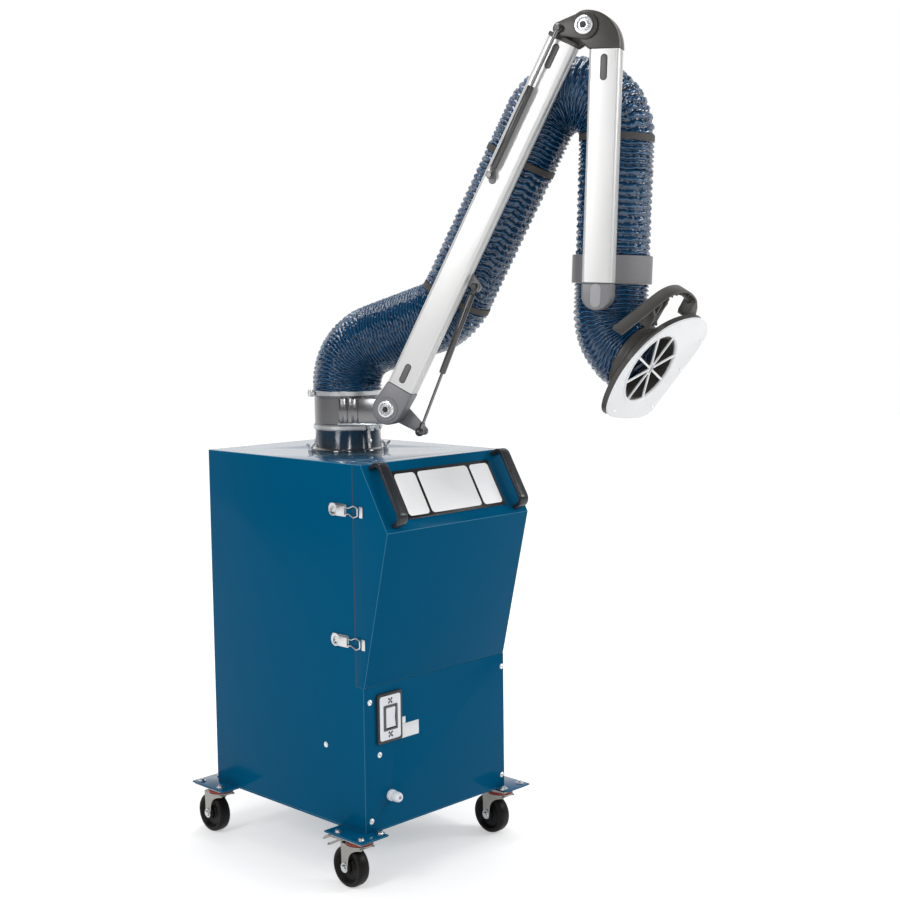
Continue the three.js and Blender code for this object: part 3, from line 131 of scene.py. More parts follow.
def ranged(tree, value, given, wanted, **settings):
    """A value carried from the given range to the wanted one."""
    inputs = {"Value": value, "From Min": given[0], "From Max": given[1], "To Min": wanted[0],
              "To Max": wanted[1]}
    return node_in(tree, "ShaderNodeMapRange", inputs, **settings).outputs["Result"]


surround = bpy.data.worlds.new("white_surround")
surround.use_nodes = True
scene.world = surround
tree = surround.node_tree
tree.nodes.clear()
ray = tree.nodes.new("ShaderNodeLightPath").outputs
direction = tree.nodes.new("ShaderNodeTexCoord").outputs["Generated"]
toward = node_in(tree, "ShaderNodeVectorMath", {0: direction, 1: BEHIND}, operation="DOT_PRODUCT")
backdrop_level = ranged(tree, toward.outputs["Value"], (0.05, 0.75), (SURROUND_DARK_SIDE, 1.0),
                        interpolation_type="SMOOTHSTEP")
clear_view = math_in(tree, "MAXIMUM", ray["Is Camera Ray"], ray["Is Transmission Ray"])
seen = math_in(tree, "MAXIMUM", clear_view, ray["Is Glossy Ray"])
strength = math_in(tree, "MAXIMUM", clear_view, backdrop_level)
backdrop = node_in(tree, "ShaderNodeBackground", {"Color": WHITE, "Strength": strength})
lighting = node_in(tree, "ShaderNodeBackground", {"Color": WHITE, "Strength": SURROUND_LIGHT})
blend = node_in(tree, "ShaderNodeMixShader", {0: seen, 1: lighting.outputs[0], 2: backdrop.outputs[0]})
node_in(tree, "ShaderNodeOutputWorld", {"Surface": blend.outputs[0]})


def soft_lamp(name, place, aim, width, height, watts):
    lamp = bpy.data.lights.new(name, "AREA")
    lamp.shape = "RECTANGLE"
    lamp.size = width
    lamp.size_y = height
    lamp.energy = watts
    turn = (Vector(aim) - Vector(place)).to_track_quat("-Z", "Y").to_matrix().to_4x4()
    stood(name, lamp).matrix_world = Matrix.Translation(Vector(place)) @ turn


soft_lamp("key_lamp", (-3.4, -0.2, 2.4), (0.0, 0.0, 1.0), 0.9, 1.5, 44.0)
soft_lamp("fill_lamp", (2.6, -2.9, 2.5), (0.0, -0.2, 0.9), 0.8, 1.3, 45.0)
soft_lamp("top_lamp", (0.3, 0.4, 4.2), (0.0, 0.0, 1.0), 1.5, 1.5, 48.0)
soft_lamp("front_lamp", (-2.7, -3.0, 2.3), (0.0, 0.0, 1.1), 0.3, 1.5, 18.0)
soft_lamp("edge_lamp", (0.9, -3.6, 2.2), (0.0, 0.0, 1.1), 0.16, 1.4, 9.0)

FLOOR_RADIUS = 14.0
FLOOR_GLOW = (0.40, 0.66)
FLOOR_GLOW_RADII = (0.9, 3.2)
floor_mesh = bpy.data.meshes.new("floor")
sweep = bmesh.new()
bmesh.ops.create_circle(sweep, cap_ends=True, radius=FLOOR_RADIUS, segments=128)
sweep.to_mesh(floor_mesh)
sweep.free()
floor = stood("floor", floor_mesh)
pale_floor = bpy.data.materials.new("pale_floor")
pale_floor.use_nodes = True
tree = pale_floor.node_tree
ray = tree.nodes.new("ShaderNodeLightPath").outputs
floor_place = tree.nodes.new("ShaderNodeTexCoord").outputs["Object"]
distance = node_in(tree, "ShaderNodeVectorMath", {0: floor_place}, operation="LENGTH")
brighter = ranged(tree, distance.outputs["Value"], FLOOR_GLOW_RADII, FLOOR_GLOW)
seen = math_in(tree, "MAXIMUM", ray["Is Camera Ray"], ray["Is Glossy Ray"])
wired(tree, tree.nodes["Principled BSDF"],
      {"Base Color": (0.86, 0.86, 0.86, 1.0), "Roughness": 0.7, "Specular IOR Level": 0.1,
       "Emission Color": WHITE, "Emission Strength": math_in(tree, "MULTIPLY", seen, brighter)})
floor.data.materials.append(pale_floor)

# Base pan: a folded steel sheet under the cabinet with an ear at each corner for a castor.
# Powder coated blue like the cabinet, and held by the castor bolts.
MILLIMETRE = 0.001
SWIVEL_SETBACK = 18.0
SAME_POINT = 2e-6
FLAT_ANGLE = math.radians(0.5)
FOLD_ANGLE = math.radians(28.0)
LEVEL_FACE = 0.97
CLOUD_RANGE = (0.3, 0.7)
# A paler blue for the folded edges: a painted highlight.
FOLD_HIGHLIGHT_BLUE = (0.045, 0.170, 0.275, 1.0)
LEVEL_GLOSS = 0.6
joints = {joint["name"]: joint for joint in frame["joints"]}


def finish(name, colour, vary=0.08, patch=6.0, rough=(0.32, 0.44), grain=900.0, depth=2e-5,
           metal=0.0, coat=0.0, specular=0.5, stretch=(1.0, 1.0, 1.0)):
    """A finish with soft patches of tint and sheen and a fine grain."""
    material = bpy.data.materials.new(name)
    material.use_nodes = True
    tree = material.node_tree
    place = tree.nodes.new("ShaderNodeTexCoord").outputs["Object"]
    spot = node_in(tree, "ShaderNodeMapping", {"Vector": place, "Scale": stretch}).outputs[0]
    clouds = node_in(tree, "ShaderNodeTexNoise", {"Vector": spot, "Scale": patch, "Detail": 5.0}).outputs[0]
    dark, pale = ((*(channel * share for channel in colour), 1.0) for share in (1.0 - vary, 1.0 + vary))
    tint = node_in(tree, "ShaderNodeMix", {0: clouds, 6: dark, 7: pale}, data_type="RGBA")
    fine = node_in(tree, "ShaderNodeTexNoise", {"Vector": spot, "Scale": grain, "Detail": 3.0})
    bump = node_in(tree, "ShaderNodeBump", {"Height": fine.outputs[0], "Strength": 0.6, "Distance": depth})
    wired(tree, tree.nodes["Principled BSDF"],
          {"Base Color": tint.outputs[2], "Roughness": ranged(tree, clouds, CLOUD_RANGE, rough),
           "Normal": bump.outputs["Normal"], "Metallic": metal, "Coat Weight": coat,
           "Coat Roughness": 0.05, "Specular IOR Level": specular})
    return material


def marked(tree, attribute):
    return node_in(tree, "ShaderNodeAttribute", {}, attribute_name=attribute).outputs["Fac"]


def tinted_by(material, attribute, colour):
    """Lays a colour over the finish where an attribute of the mesh says so."""
    tree = material.node_tree
    base = tree.nodes["Principled BSDF"].inputs["Base Color"]
    inputs = {0: marked(tree, attribute), 6: base.links[0].from_socket, 7: colour}
    over = node_in(tree, "ShaderNodeMix", inputs, data_type="RGBA")
    tree.links.new(over.outputs[2], base)


def coated(material, *names):
    """Puts a finish on nodes that show as they are."""
    for name in names:
        slots = frame["nodes"][name].material_slots
        for slot in slots:
            slot.material = material
        if not slots:
            frame["nodes"][name].data.materials.append(material)


def reworked(mesh, *steps):
    """The mesh after steps on it in editable form."""
    work = bmesh.new()
    work.from_mesh(mesh)
    for step in steps:
        step(work)
    work.to_mesh(mesh)
    work.free()
    return mesh


def faced_out(work):
    bmesh.ops.recalc_face_normals(work, faces=work.faces)


def plain(carrier):
    """The mesh that a carrier's modifier leaves."""
    mesh = bpy.data.meshes.new_from_object(carrier.evaluated_get(bpy.context.evaluated_depsgraph_get()))
    bpy.data.objects.remove(carrier)
    return mesh


def eased(mesh, width, segments=2, by_weight=False, **more):
    """The mesh with its sharp edges broken, width in the mesh's own unit."""
    carrier = stood("carrier", mesh)
    bevel = carrier.modifiers.new("bevel", "BEVEL")
    settings = {"width": width, "segments": segments, "limit_method": "WEIGHT" if by_weight else "ANGLE",
                "angle_limit": FOLD_ANGLE, "use_clamp_overlap": True}
    for key, value in (settings | more).items():
        setattr(bevel, key, value)
    return plain(carrier)


def folded(mesh, width, segments=2, by_weight=False):
    """Like eased, with attributes for the edges, which carry a painted highlight, and for wiped level faces.
    """
    mesh.materials.clear()
    for _ in range(2):
        mesh.materials.append(None)
    mesh = eased(mesh, width, segments, by_weight, material=1)
    folds = [float(face.material_index) for face in mesh.polygons]
    levels = [float(face.normal.z > LEVEL_FACE) for face in mesh.polygons]
    for name, marks in (("fold", folds), ("level", levels)):
        mesh.attributes.new(name, "FLOAT", "FACE").data.foreach_set("value", marks)
    return mesh


def fitted(name, mesh, place, material, body, *replaced, sharp=32.0):
    """A finished piece in place with its finish. It rides on its body, if one is named."""
    mesh.transform(place)
    mesh.name = name
    reworked(mesh, faced_out)
    mesh.polygons.foreach_set("use_smooth", [True] * len(mesh.polygons))
    mesh.set_sharp_from_angle(angle=math.radians(sharp))
    mesh.materials.clear()
    mesh.materials.append(material)
    piece = stood(name, mesh)
    if body:
        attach(piece, body)
    if replaced:
        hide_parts(*replaced)
    return piece


def whole_faced(node):
    """A copy of a node's mesh whose flat faces are whole."""
    def steps(work):
        bmesh.ops.remove_doubles(work, verts=work.verts, dist=SAME_POINT)
        bmesh.ops.dissolve_limit(work, angle_limit=FLAT_ANGLE, verts=work.verts, edges=work.edges)
    return reworked(frame["nodes"][node].data.copy(), steps)


def edged(node, width, material, segments=2):
    """A copy of a rigid node whose edges are broken by width millimetres."""
    mesh = folded(whole_faced(node), width * MILLIMETRE, segments)
    return fitted(f"{node}_edged", mesh, Matrix(), material, frame["nodes"][node]["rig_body"], node)


def shift(x, y, z):
    return Matrix.Translation((x, y, z))


def spin(angle, axis):
    return Matrix.Rotation(angle, 4, axis)


swivel_place = Vector(joints["arm_swivel"]["pos_m"])
cabinet_place = (shift(swivel_place.x, swivel_place.y - SWIVEL_SETBACK * MILLIMETRE, 0.0)
                 @ Matrix.Scale(MILLIMETRE, 4))
blue_coat = finish("blue_powder_coat", (0.0004, 0.084, 0.184), vary=0.05, patch=3.0,
                   rough=(0.10, 0.16), grain=420.0, depth=8e-6, specular=0.02)
# The bevelled folds get the paler blue, a painted highlight along the edges.
tinted_by(blue_coat, "fold", FOLD_HIGHLIGHT_BLUE)
blue_tree = blue_coat.node_tree
wiped_gloss = math_in(blue_tree, "MULTIPLY", marked(blue_tree, "level"), LEVEL_GLOSS)
wired(blue_tree, blue_tree.nodes["Principled BSDF"], {"Coat Weight": wiped_gloss})
edged("base_pan", 0.8, blue_coat)

# Castors: zinc-plated pressed forks on a ball race under a bolted top plate, with a moulded
# dark wheel on a nutted axle. The front two have a brake pedal, and a red ring seals each race.
CASTOR_PLACES = {"front_left": (-241.0, -268.0), "front_right": (241.0, -268.0),
                 "rear_left": (-241.0, 268.0), "rear_right": (241.0, 268.0)}
CASTOR_TRAIL = 30.0
AXLE_HEIGHT = 50.0
BOLT_PATTERN = (30.0, 40.0)
PAN_TOP = 136.0
WASHER_REACH = 1.45
CROWN_REACH = 0.72
SHANK_SHARE = 0.75
SHELL_REACH = (245.0, 298.0)
QUARTER = math.pi / 2.0
zinc = finish("zinc_plate", (0.60, 0.61, 0.62), vary=0.18, patch=22.0, rough=(0.24, 0.42), metal=1.0)
castor_zinc = finish("yellowed_castor_zinc", (0.33, 0.32, 0.30), vary=0.2, patch=26.0,
                     rough=(0.26, 0.44), metal=1.0)
wheel_black = finish("wheel_compound", (0.008, 0.007, 0.0065), vary=0.3, patch=30.0,
                     rough=(0.30, 0.5), grain=1400.0, depth=4e-5, specular=0.15)
seal_red = finish("race_seal_red", (0.36, 0.035, 0.022), rough=(0.4, 0.5))


def meshed(points, faces, edges=()):
    mesh = bpy.data.meshes.new("shape")
    mesh.from_pydata(points, edges, faces)
    return mesh


def lathe(profile, sides=72):
    """A closed profile of (radius, height) turned about Z, as a mesh."""
    points = []
    faces = []
    count = len(profile)
    for k in range(sides):
        turn = 2.0 * math.pi * k / sides
        points += [(r * math.cos(turn), r * math.sin(turn), z) for r, z in profile]
        a = k * count
        b = (k + 1) % sides * count
        for i in range(count):
            j = (i + 1) % count
            faces.append((a + i, b + i, b + j, a + j))

    def steps(work):
        bmesh.ops.remove_doubles(work, verts=work.verts, dist=1e-5)
        bmesh.ops.dissolve_degenerate(work, edges=work.edges, dist=1e-6)
    return reworked(meshed(points, faces), steps)


def drawn(axis, a, b, depth):
    """A flat spot at a depth: axis X takes (y, z), Z takes (x, y), and W takes (x, z) towards -Y."""
    return {"X": (depth, a, b), "Z": (a, b, depth), "W": (a, -depth, b)}[axis]


def prism(outline, axis, low, high, bevel=0.0, segments=2):
    """An outline drawn out along an axis."""
    count = len(outline)
    points = [drawn(axis, a, b, depth) for depth in (low, high) for a, b in outline]
    faces = [tuple(range(count)), tuple(range(count, 2 * count))]
    faces += [(i, (i + 1) % count, count + (i + 1) % count, count + i) for i in range(count)]
    mesh = reworked(meshed(points, faces), faced_out)
    return eased(mesh, bevel, segments) if bevel else mesh


def arc(x, y, radius, start, end, steps=10):
    turns = [start + (end - start) * i / steps for i in range(steps + 1)]
    return [(x + radius * math.cos(turn), y + radius * math.sin(turn)) for turn in turns]


def bezier(start, first, second, end, steps=16):
    """Points along a cubic curve, without its start."""
    spots = []
    for i in range(1, steps + 1):
        t = i / steps
        weights = ((1.0 - t) ** 3, 3.0 * t * (1.0 - t) ** 2, 3.0 * t * t * (1.0 - t), t ** 3)
        spots.append(tuple(sum(w * p[k] for w, p in zip(weights, (start, first, second, end)))
                           for k in range(2)))
    return spots


def strap_outline(a, a_radius, b, b_radius, steps=20):
    """The outline around two discs."""
    turn = math.atan2(b[1] - a[1], b[0] - a[0])
    lean = math.acos((a_radius - b_radius) / math.hypot(b[0] - a[0], b[1] - a[1]))
    return (arc(*a, a_radius, turn + lean, turn - lean + 2.0 * math.pi, steps)
            + arc(*b, b_radius, turn - lean, turn + lean, steps))


def rounded(x0, x1, y0, y1, radius, steps=6):
    """A rectangle with round corners."""
    return (arc(x1 - radius, y1 - radius, radius, 0.0, QUARTER, steps)
            + arc(x0 + radius, y1 - radius, radius, QUARTER, 2.0 * QUARTER, steps)
            + arc(x0 + radius, y0 + radius, radius, 2.0 * QUARTER, 3.0 * QUARTER, steps)
            + arc(x1 - radius, y0 + radius, radius, 3.0 * QUARTER, 4.0 * QUARTER, steps))


def tree_of(name, inputs):
    """A node tree that takes a mesh, these named inputs and a finish, with its inputs' sockets."""
    kinds = {float: "NodeSocketFloat", int: "NodeSocketInt", tuple: "NodeSocketVector"}
    tree = bpy.data.node_groups.new(name, "GeometryNodeTree")
    socket = tree.interface.new_socket
    socket(name="Geometry", in_out="INPUT", socket_type="NodeSocketGeometry")
    for key, value in inputs.items():
        socket(name=key, in_out="INPUT", socket_type=kinds[type(value)]).default_value = value
    socket(name="Finish", in_out="INPUT", socket_type="NodeSocketMaterial")
    socket(name="Geometry", in_out="OUTPUT", socket_type="NodeSocketGeometry")
    return tree, tree.nodes.new("NodeGroupInput").outputs


def tree_ended(tree, given, geometry):
    """The tree, ended in plain geometry with the finish on it."""
    real = node_in(tree, "GeometryNodeRealizeInstances", {0: geometry})
    dressed = node_in(tree, "GeometryNodeSetMaterial",
                      {"Geometry": real.outputs[0], "Material": given["Finish"]})
    node_in(tree, "NodeGroupOutput", {0: dressed.outputs[0]})
    return tree


def grown(mesh, tree, values):
    """The plain mesh that a node tree makes from a carrier mesh with these named inputs."""
    carrier = stood("carrier", mesh)
    modifier = carrier.modifiers.new("grow", "NODES")
    modifier.node_group = tree
    for item in tree.interface.items_tree:
        if item.item_type == "SOCKET" and item.in_out == "INPUT" and item.name in values:
            modifier[item.identifier] = values[item.name]
    return plain(carrier)


def screw_tree():
    """A washer and a head on every point, turned to face out of the surface."""
    tree, given = tree_of("screw_heads", {"Head Radius": 4.0, "Head Height": 3.0, "Sides": 6,
                                          "Turn": (0.0, 0.0, 0.0)})
    radius = given["Head Radius"]

    def wide(share):
        return math_in(tree, "MULTIPLY", radius, share)

    def tall(share):
        return math_in(tree, "MULTIPLY", given["Head Height"], share)

    washer = node_in(tree, "GeometryNodeMeshCylinder",
                     {"Vertices": 24, "Radius": wide(WASHER_REACH), "Depth": tall(0.5)})
    sides = {"Vertices": given["Sides"], "Radius Bottom": radius}
    shank = node_in(tree, "GeometryNodeMeshCone", {**sides, "Radius Top": radius, "Depth": tall(SHANK_SHARE)})
    crown = node_in(tree, "GeometryNodeMeshCone",
                    {**sides, "Radius Top": wide(CROWN_REACH), "Depth": tall(1.0 - SHANK_SHARE)})
    lift = node_in(tree, "ShaderNodeCombineXYZ", {"Z": tall(SHANK_SHARE)})
    raised = node_in(tree, "GeometryNodeTransform",
                     {"Geometry": crown.outputs["Mesh"], "Translation": lift.outputs[0]})
    head = tree.nodes.new("GeometryNodeJoinGeometry")
    for part in (raised.outputs[0], shank.outputs["Mesh"], washer.outputs["Mesh"]):
        tree.links.new(part, head.inputs[0])
    turn = node_in(tree, "FunctionNodeEulerToRotation", {0: given["Turn"]})
    spread = node_in(tree, "GeometryNodeInstanceOnPoints",
                     {"Points": given["Geometry"], "Instance": head.outputs[0], "Rotation": turn.outputs[0]})
    return tree_ended(tree, given, spread.outputs[0])


screw_heads = screw_tree()
OUTWARD = {"top": (0.0, 0.0, 0.0), "front": (QUARTER, 0.0, 0.0), "back": (-QUARTER, 0.0, 0.0),
           "left": (0.0, -QUARTER, 0.0), "right": (0.0, QUARTER, 0.0)}


def screwed(name, places, side, size, place, material, body):
    """One mesh of like screws for one body, on points in millimetres. Size is (radius, height, sides)."""
    values = {"Head Radius": size[0], "Head Height": size[1], "Sides": size[2], "Turn": OUTWARD[side],
              "Finish": material}
    return fitted(name, grown(meshed(places, []), screw_heads, values), place, material, body)


cheek = (arc(-CASTOR_TRAIL, AXLE_HEIGHT, 11.0, math.pi, 2.0 * math.pi, 16)
         + bezier((-19.0, 60.0), (-18.0, 88.0), (-2.0, 97.0), (30.0, 104.0), 14)
         + [(30.0, 108.0), (-44.0, 108.0)]
         + bezier((-44.0, 104.0), (-42.0, 96.0), (-41.0, 84.0), (-41.0, 66.0), 8))
crown = rounded(-44.0, 30.0, -21.3, 21.3, 5.0)
race = [(0.0, 108.0), (30.5, 108.0), (32.5, 110.5), (32.5, 112.0), (28.0, 113.5), (27.0, 121.5),
        (31.0, 124.0), (31.0, 127.0), (29.0, 127.9), (0.0, 127.9)]
race_seal = [(26.0, 113.6), (31.5, 113.6), (32.2, 115.6), (31.5, 117.6), (26.0, 117.6)]
half_tyre = [(5.3, 18.0), (13.0, 18.0), (15.0, 16.5), (15.5, 10.0), (19.0, 7.5), (33.0, 7.0), (36.5, 12.0),
             (39.0, 15.2), (43.0, 16.0), (46.0, 15.2), (48.6, 12.5), (49.8, 8.0)]
tyre = [(radius, -side) for radius, side in half_tyre] + [(50.0, 0.0)] + half_tyre[::-1]
tread = ([(-45.5, 109.6), (-45.5, 113.2), (-84.0, 113.2)]
         + bezier((-84.0, 113.2), (-98.0, 112.0), (-106.0, 107.0), (-113.0, 99.0), 8) + [(-110.0, 96.0)]
         + bezier((-110.0, 96.0), (-104.0, 102.0), (-94.0, 108.0), (-80.0, 108.6), 8))
tongue = [(-46.5, 105.5), (-46.5, 109.8), (-62.0, 106.0), (-98.0, 90.0), (-99.0, 85.0), (-104.0, 87.0),
          (-106.0, 81.0), (-97.0, 83.5), (-64.0, 101.0)]
pan_bolts = []
for corner, (castor_x, castor_y) in CASTOR_PLACES.items():
    coated(castor_zinc, f"castor_plate_{corner}")
    swivel = cabinet_place @ shift(castor_x, castor_y, 0.0) @ spin(-QUARTER, "Z")
    fork = swivel, castor_zinc, f"fork_{corner}"
    fitted(f"castor_cheek_near_{corner}", prism(cheek, "W", 18.3, 21.3, 0.9), *fork, f"castor_fork_{corner}")
    fitted(f"castor_cheek_far_{corner}", prism(cheek, "W", -21.3, -18.3, 0.9), *fork)
    fitted(f"castor_crown_{corner}", prism(crown, "Z", 106.0, 109.0, 1.0), *fork)
    fitted(f"castor_race_{corner}", lathe(race), *fork)
    fitted(f"castor_seal_{corner}", lathe(race_seal), swivel, seal_red, f"fork_{corner}")
    axle = swivel @ shift(-CASTOR_TRAIL, 0.0, AXLE_HEIGHT)
    for end, across, side in (("near", -21.4, "front"), ("far", 21.4, "back")):
        screwed(f"axle_nut_{end}_{corner}", [(0.0, across, 0.0)], side, (8.0, 6.0, 6), axle, zinc,
                f"fork_{corner}")
    fitted(f"castor_wheel_tyre_{corner}", lathe(tyre, 96), axle @ spin(QUARTER, "X"), wheel_black,
           f"wheel_{corner}", f"castor_wheel_{corner}")
    for side_x in (-1.0, 1.0):
        for side_y in (-1.0, 1.0):
            spot = (castor_x + side_x * BOLT_PATTERN[0], castor_y + side_y * BOLT_PATTERN[1], PAN_TOP)
            if abs(spot[0]) > SHELL_REACH[0] or abs(spot[1]) > SHELL_REACH[1]:
                pan_bolts.append(spot)
    if corner.startswith("front"):
        pedal = swivel, castor_zinc, f"pedal_{corner}"
        fitted(f"pedal_tread_{corner}", prism(tread, "W", -17.0, 17.0, 1.0), *pedal, f"brake_pedal_{corner}")
        fitted(f"pedal_tongue_{corner}", prism(tongue, "W", -9.0, 9.0, 0.6), *pedal)
screwed("castor_bolts", pan_bolts, "top", (7.0, 6.5, 6), cabinet_place, zinc, "cabinet")

# Cabinet shell: one folded and welded steel sheet with rounded folds, open at the front.
# Powder coated deep blue, glossy enough that its top mirrors the arm's foot.
FOLD_WIDTH = 2.4
INNER_SHARE = 0.25
ON_FACE = 2e-4
shell_box = [Vector(corner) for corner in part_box("cabinet_shell")]


def fold_weights(work):
    """Rounds the outer folds fully and every other edge a little."""
    weights = work.edges.layers.float.new("bevel_weight_edge")
    for edge in work.edges:
        if len(edge.link_faces) == 2 and edge.calc_face_angle() > FOLD_ANGLE:
            middle = (edge.verts[0].co + edge.verts[1].co) / 2.0
            outer = sum(min(abs(middle[i] - corner[i]) for corner in shell_box) < ON_FACE for i in range(3))
            edge[weights] = 1.0 if outer >= 2 else INNER_SHARE


shell_mesh = reworked(whole_faced("cabinet_shell"), fold_weights)
shell_mesh = folded(shell_mesh, FOLD_WIDTH * MILLIMETRE, 3, by_weight=True)
fitted("cabinet_shell_folded", shell_mesh, Matrix(), blue_coat, "cabinet", "cabinet_shell")

# Inside the cabinet: a steel deck, a pleated paper filter block and a fan with its motor.
# They only show when the hatch is off, so the solids carry the finish.
filter_paper = finish("pleated_filter_paper", (0.62, 0.58, 0.45), vary=0.12, patch=40.0,
                      rough=(0.8, 0.95), grain=240.0, depth=4e-4, stretch=(1.0, 12.0, 0.05))
motor_paint = finish("motor_enamel", (0.06, 0.06, 0.062), rough=(0.35, 0.5))
coated(zinc, "fan_deck", "fan_impeller")
coated(filter_paper, "filter_cartridge")
coated(motor_paint, "fan_motor")

# Exhaust grille at the back: a pressed steel frame with slats in dark powder coat,
# screwed over the fan's outlet.
grille_coat = finish("grille_powder_coat", (0.026, 0.029, 0.034), rough=(0.36, 0.5),
                     grain=500.0, depth=3e-5)
edged("exhaust_grille", 0.7, grille_coat)

# Lower front panel: a folded blue sheet screwed to the shell, with a switch, a bare plate and
# the white gland of the mains lead. The screws are plated and have round washers.
PANEL_FACE = 288.0
PANEL_SCREWS = [(-219.0, 444.0), (-191.0, 314.0), (-219.0, 162.0), (226.0, 165.0), (228.0, 445.0)]
PANEL_SCREW = (4.6, 3.2, 20)
SCREW_SOCKET = (1.5, 0.6, 6)
bright_zinc = finish("bright_zinc_screws", (0.80, 0.81, 0.82), vary=0.1, patch=60.0,
                     rough=(0.25, 0.35), metal=0.75)
edged("lower_front_panel", 0.8, blue_coat)
screwed("panel_screws", [(x, -PANEL_FACE, z) for x, z in PANEL_SCREWS], "front", PANEL_SCREW,
        cabinet_place, bright_zinc, "cabinet")
# The screws' hex sockets are small dark hex caps on the heads: painted shade in the sockets.
painted_socket_shade = finish("painted_socket_shade_dark", (0.03, 0.03, 0.03), rough=(0.4, 0.5), metal=0.5)
screwed("panel_screw_socket_shades", [(x, -PANEL_FACE - 2.9, z) for x, z in PANEL_SCREWS], "front", SCREW_SOCKET,
        cabinet_place, painted_socket_shade, "cabinet")
screwed("shell_side_screw", [(-235.0, -149.0, 320.0)], "left", PANEL_SCREW, cabinet_place, bright_zinc,
        "cabinet")
pale_plate = finish("pale_bare_plate", (0.74, 0.75, 0.77), vary=0.05, patch=25.0,
                    rough=(0.35, 0.45), metal=0.2)
for name, box, front in (("bare_plate", (-124.0, -64.0, 338.0, 372.0), 288.7),
                         ("bare_plate_tab", (-124.0, -107.0, 372.6, 389.0), 288.6)):
    fitted(name, prism(rounded(*box, 1.5), "W", PANEL_FACE, front, 0.2), cabinet_place, pale_plate, "cabinet")
white_plastic = finish("white_moulding", (0.78, 0.80, 0.84), vary=0.03, patch=12.0,
                       rough=(0.3, 0.4), grain=1200.0, depth=1.5e-5)
gland = lathe([(4.5, -3.0), (12.5, -3.0), (13.5, -1.5), (13.5, 6.0), (12.5, 7.5), (10.5, 8.0), (10.5, 9.5),
               (12.2, 11.0), (12.2, 22.0), (11.0, 28.0), (8.4, 31.0), (4.5, 31.0)], 48)
gland_place = cabinet_place @ shift(-157.0, -PANEL_FACE - 1.0, 210.0) @ spin(QUARTER, "X")
fitted("gland_nut", gland, gland_place, white_plastic, "cabinet", "cable_gland")

# Switch: a black moulded frame with a white face round a rocker, pushed into the panel.
# Small four-petal fan marks stand above and below the rocker.
black_plastic = finish("black_moulding", (0.016, 0.016, 0.018), rough=(0.34, 0.5),
                       grain=1500.0, depth=3e-5)
grey_plastic = finish("grey_moulding", (0.075, 0.08, 0.082), rough=(0.4, 0.5), grain=1500.0,
                      depth=3e-5)
edged("switch_plate", 1.2, black_plastic)


def framed(outer, inner, axis, low, high, bevel=0.0):
    """The frame between two outlines with as many points each."""
    count = len(outer)
    points = [drawn(axis, a, b, depth) for depth in (low, high) for loop in (outer, inner) for a, b in loop]
    faces = []
    for i in range(count):
        j = (i + 1) % count
        for one, other in ((0, 1), (2, 3), (0, 2), (1, 3)):
            faces.append((one * count + i, one * count + j, other * count + j, other * count + i))
    mesh = meshed(points, faces)
    return eased(mesh, bevel) if bevel else mesh


switch_place = cabinet_place @ shift(-161.0, 0.0, 399.0)
switch_face = framed(rounded(-32.5, 32.5, -52.5, 52.5, 6.0), rounded(-20.0, 20.0, -28.5, 28.5, 1.5), "W",
                     294.2, 295.0, 0.2)
fitted("switch_face", switch_face, switch_place, white_plastic, "cabinet")
bezel = framed(rounded(-21.5, 21.5, -30.0, 30.0, 2.0), rounded(-16.0, 16.0, -26.0, 26.0, 1.0), "W",
               294.8, 297.2, 0.5)
fitted("switch_bezel", bezel, switch_place, grey_plastic, "cabinet")
edged("switch_rocker", 1.2, white_plastic)
for height, mark_z in (("low", -40.0), ("high", 40.0)):
    for number in range(4):
        petal = prism(strap_outline((1.6, 0.0), 1.0, (6.4, 0.0), 2.4, 8), "W", 295.0, 295.25)
        petal_place = switch_place @ shift(0.0, 0.0, mark_z) @ spin(math.pi * (0.25 + 0.5 * number), "Y")
        fitted(f"fan_mark_{height}_{number}", petal, petal_place, black_plastic, "cabinet")

# Front hatch: a folded blue steel box lid that carries the sloped front, with two wide moulded
# grips screwed on it and a dark board of bare placards between them. A black seal fills its seam.
SLOPE = (87.0, 148.0)
NOSE = (0.0, -375.0, 847.5)
SEAL_WIDTH = 2.4
SEAL_DEPTH = 6.0
SEAL_STAND = 0.1
edged("front_hatch", 1.7, blue_coat, 3)
hatch_low, hatch_high = (Vector(corner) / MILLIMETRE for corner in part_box("front_hatch"))
near = hatch_high.y - SEAL_WIDTH / 2.0
for side, face in (("left", hatch_low.x), ("right", hatch_high.x)):
    inside = face - math.copysign(SEAL_DEPTH, face)
    outside = face + math.copysign(SEAL_STAND, face)
    seal = prism([(inside, near), (outside, near), (outside, near + SEAL_WIDTH), (inside, near + SEAL_WIDTH)],
                 "Z", hatch_low.z + 1.0, hatch_high.z - 1.0)
    fitted(f"hatch_seal_{side}", seal, Matrix.Scale(MILLIMETRE, 4), black_plastic, "cabinet")
slope_place = cabinet_place @ Matrix.Translation(NOSE) @ spin(math.atan2(SLOPE[1], SLOPE[0]), "X")
board_black = finish("board_film_black", (0.008, 0.009, 0.011), rough=(0.25, 0.35),
                     grain=800.0, specular=0.2)
placard_white = finish("placard_film_white", (0.92, 0.925, 0.93), vary=0.02,
                       rough=(0.3, 0.4), specular=0.3)
board = prism(rounded(-158.0, 170.0, 25.0, 147.0, 6.0), "Z", 0.1, 1.3, 0.3)
fitted("placard_board", board, slope_place, board_black, "hatch")
for number, (left, right) in enumerate([(-150.0, -84.0), (-76.0, 90.0), (98.0, 162.0)]):
    placard = prism(rounded(left, right, 33.0, 139.0, 9.0), "Z", 1.3, 1.8, 0.2)
    fitted(f"placard_{number + 1}", placard, slope_place, placard_white, "hatch")


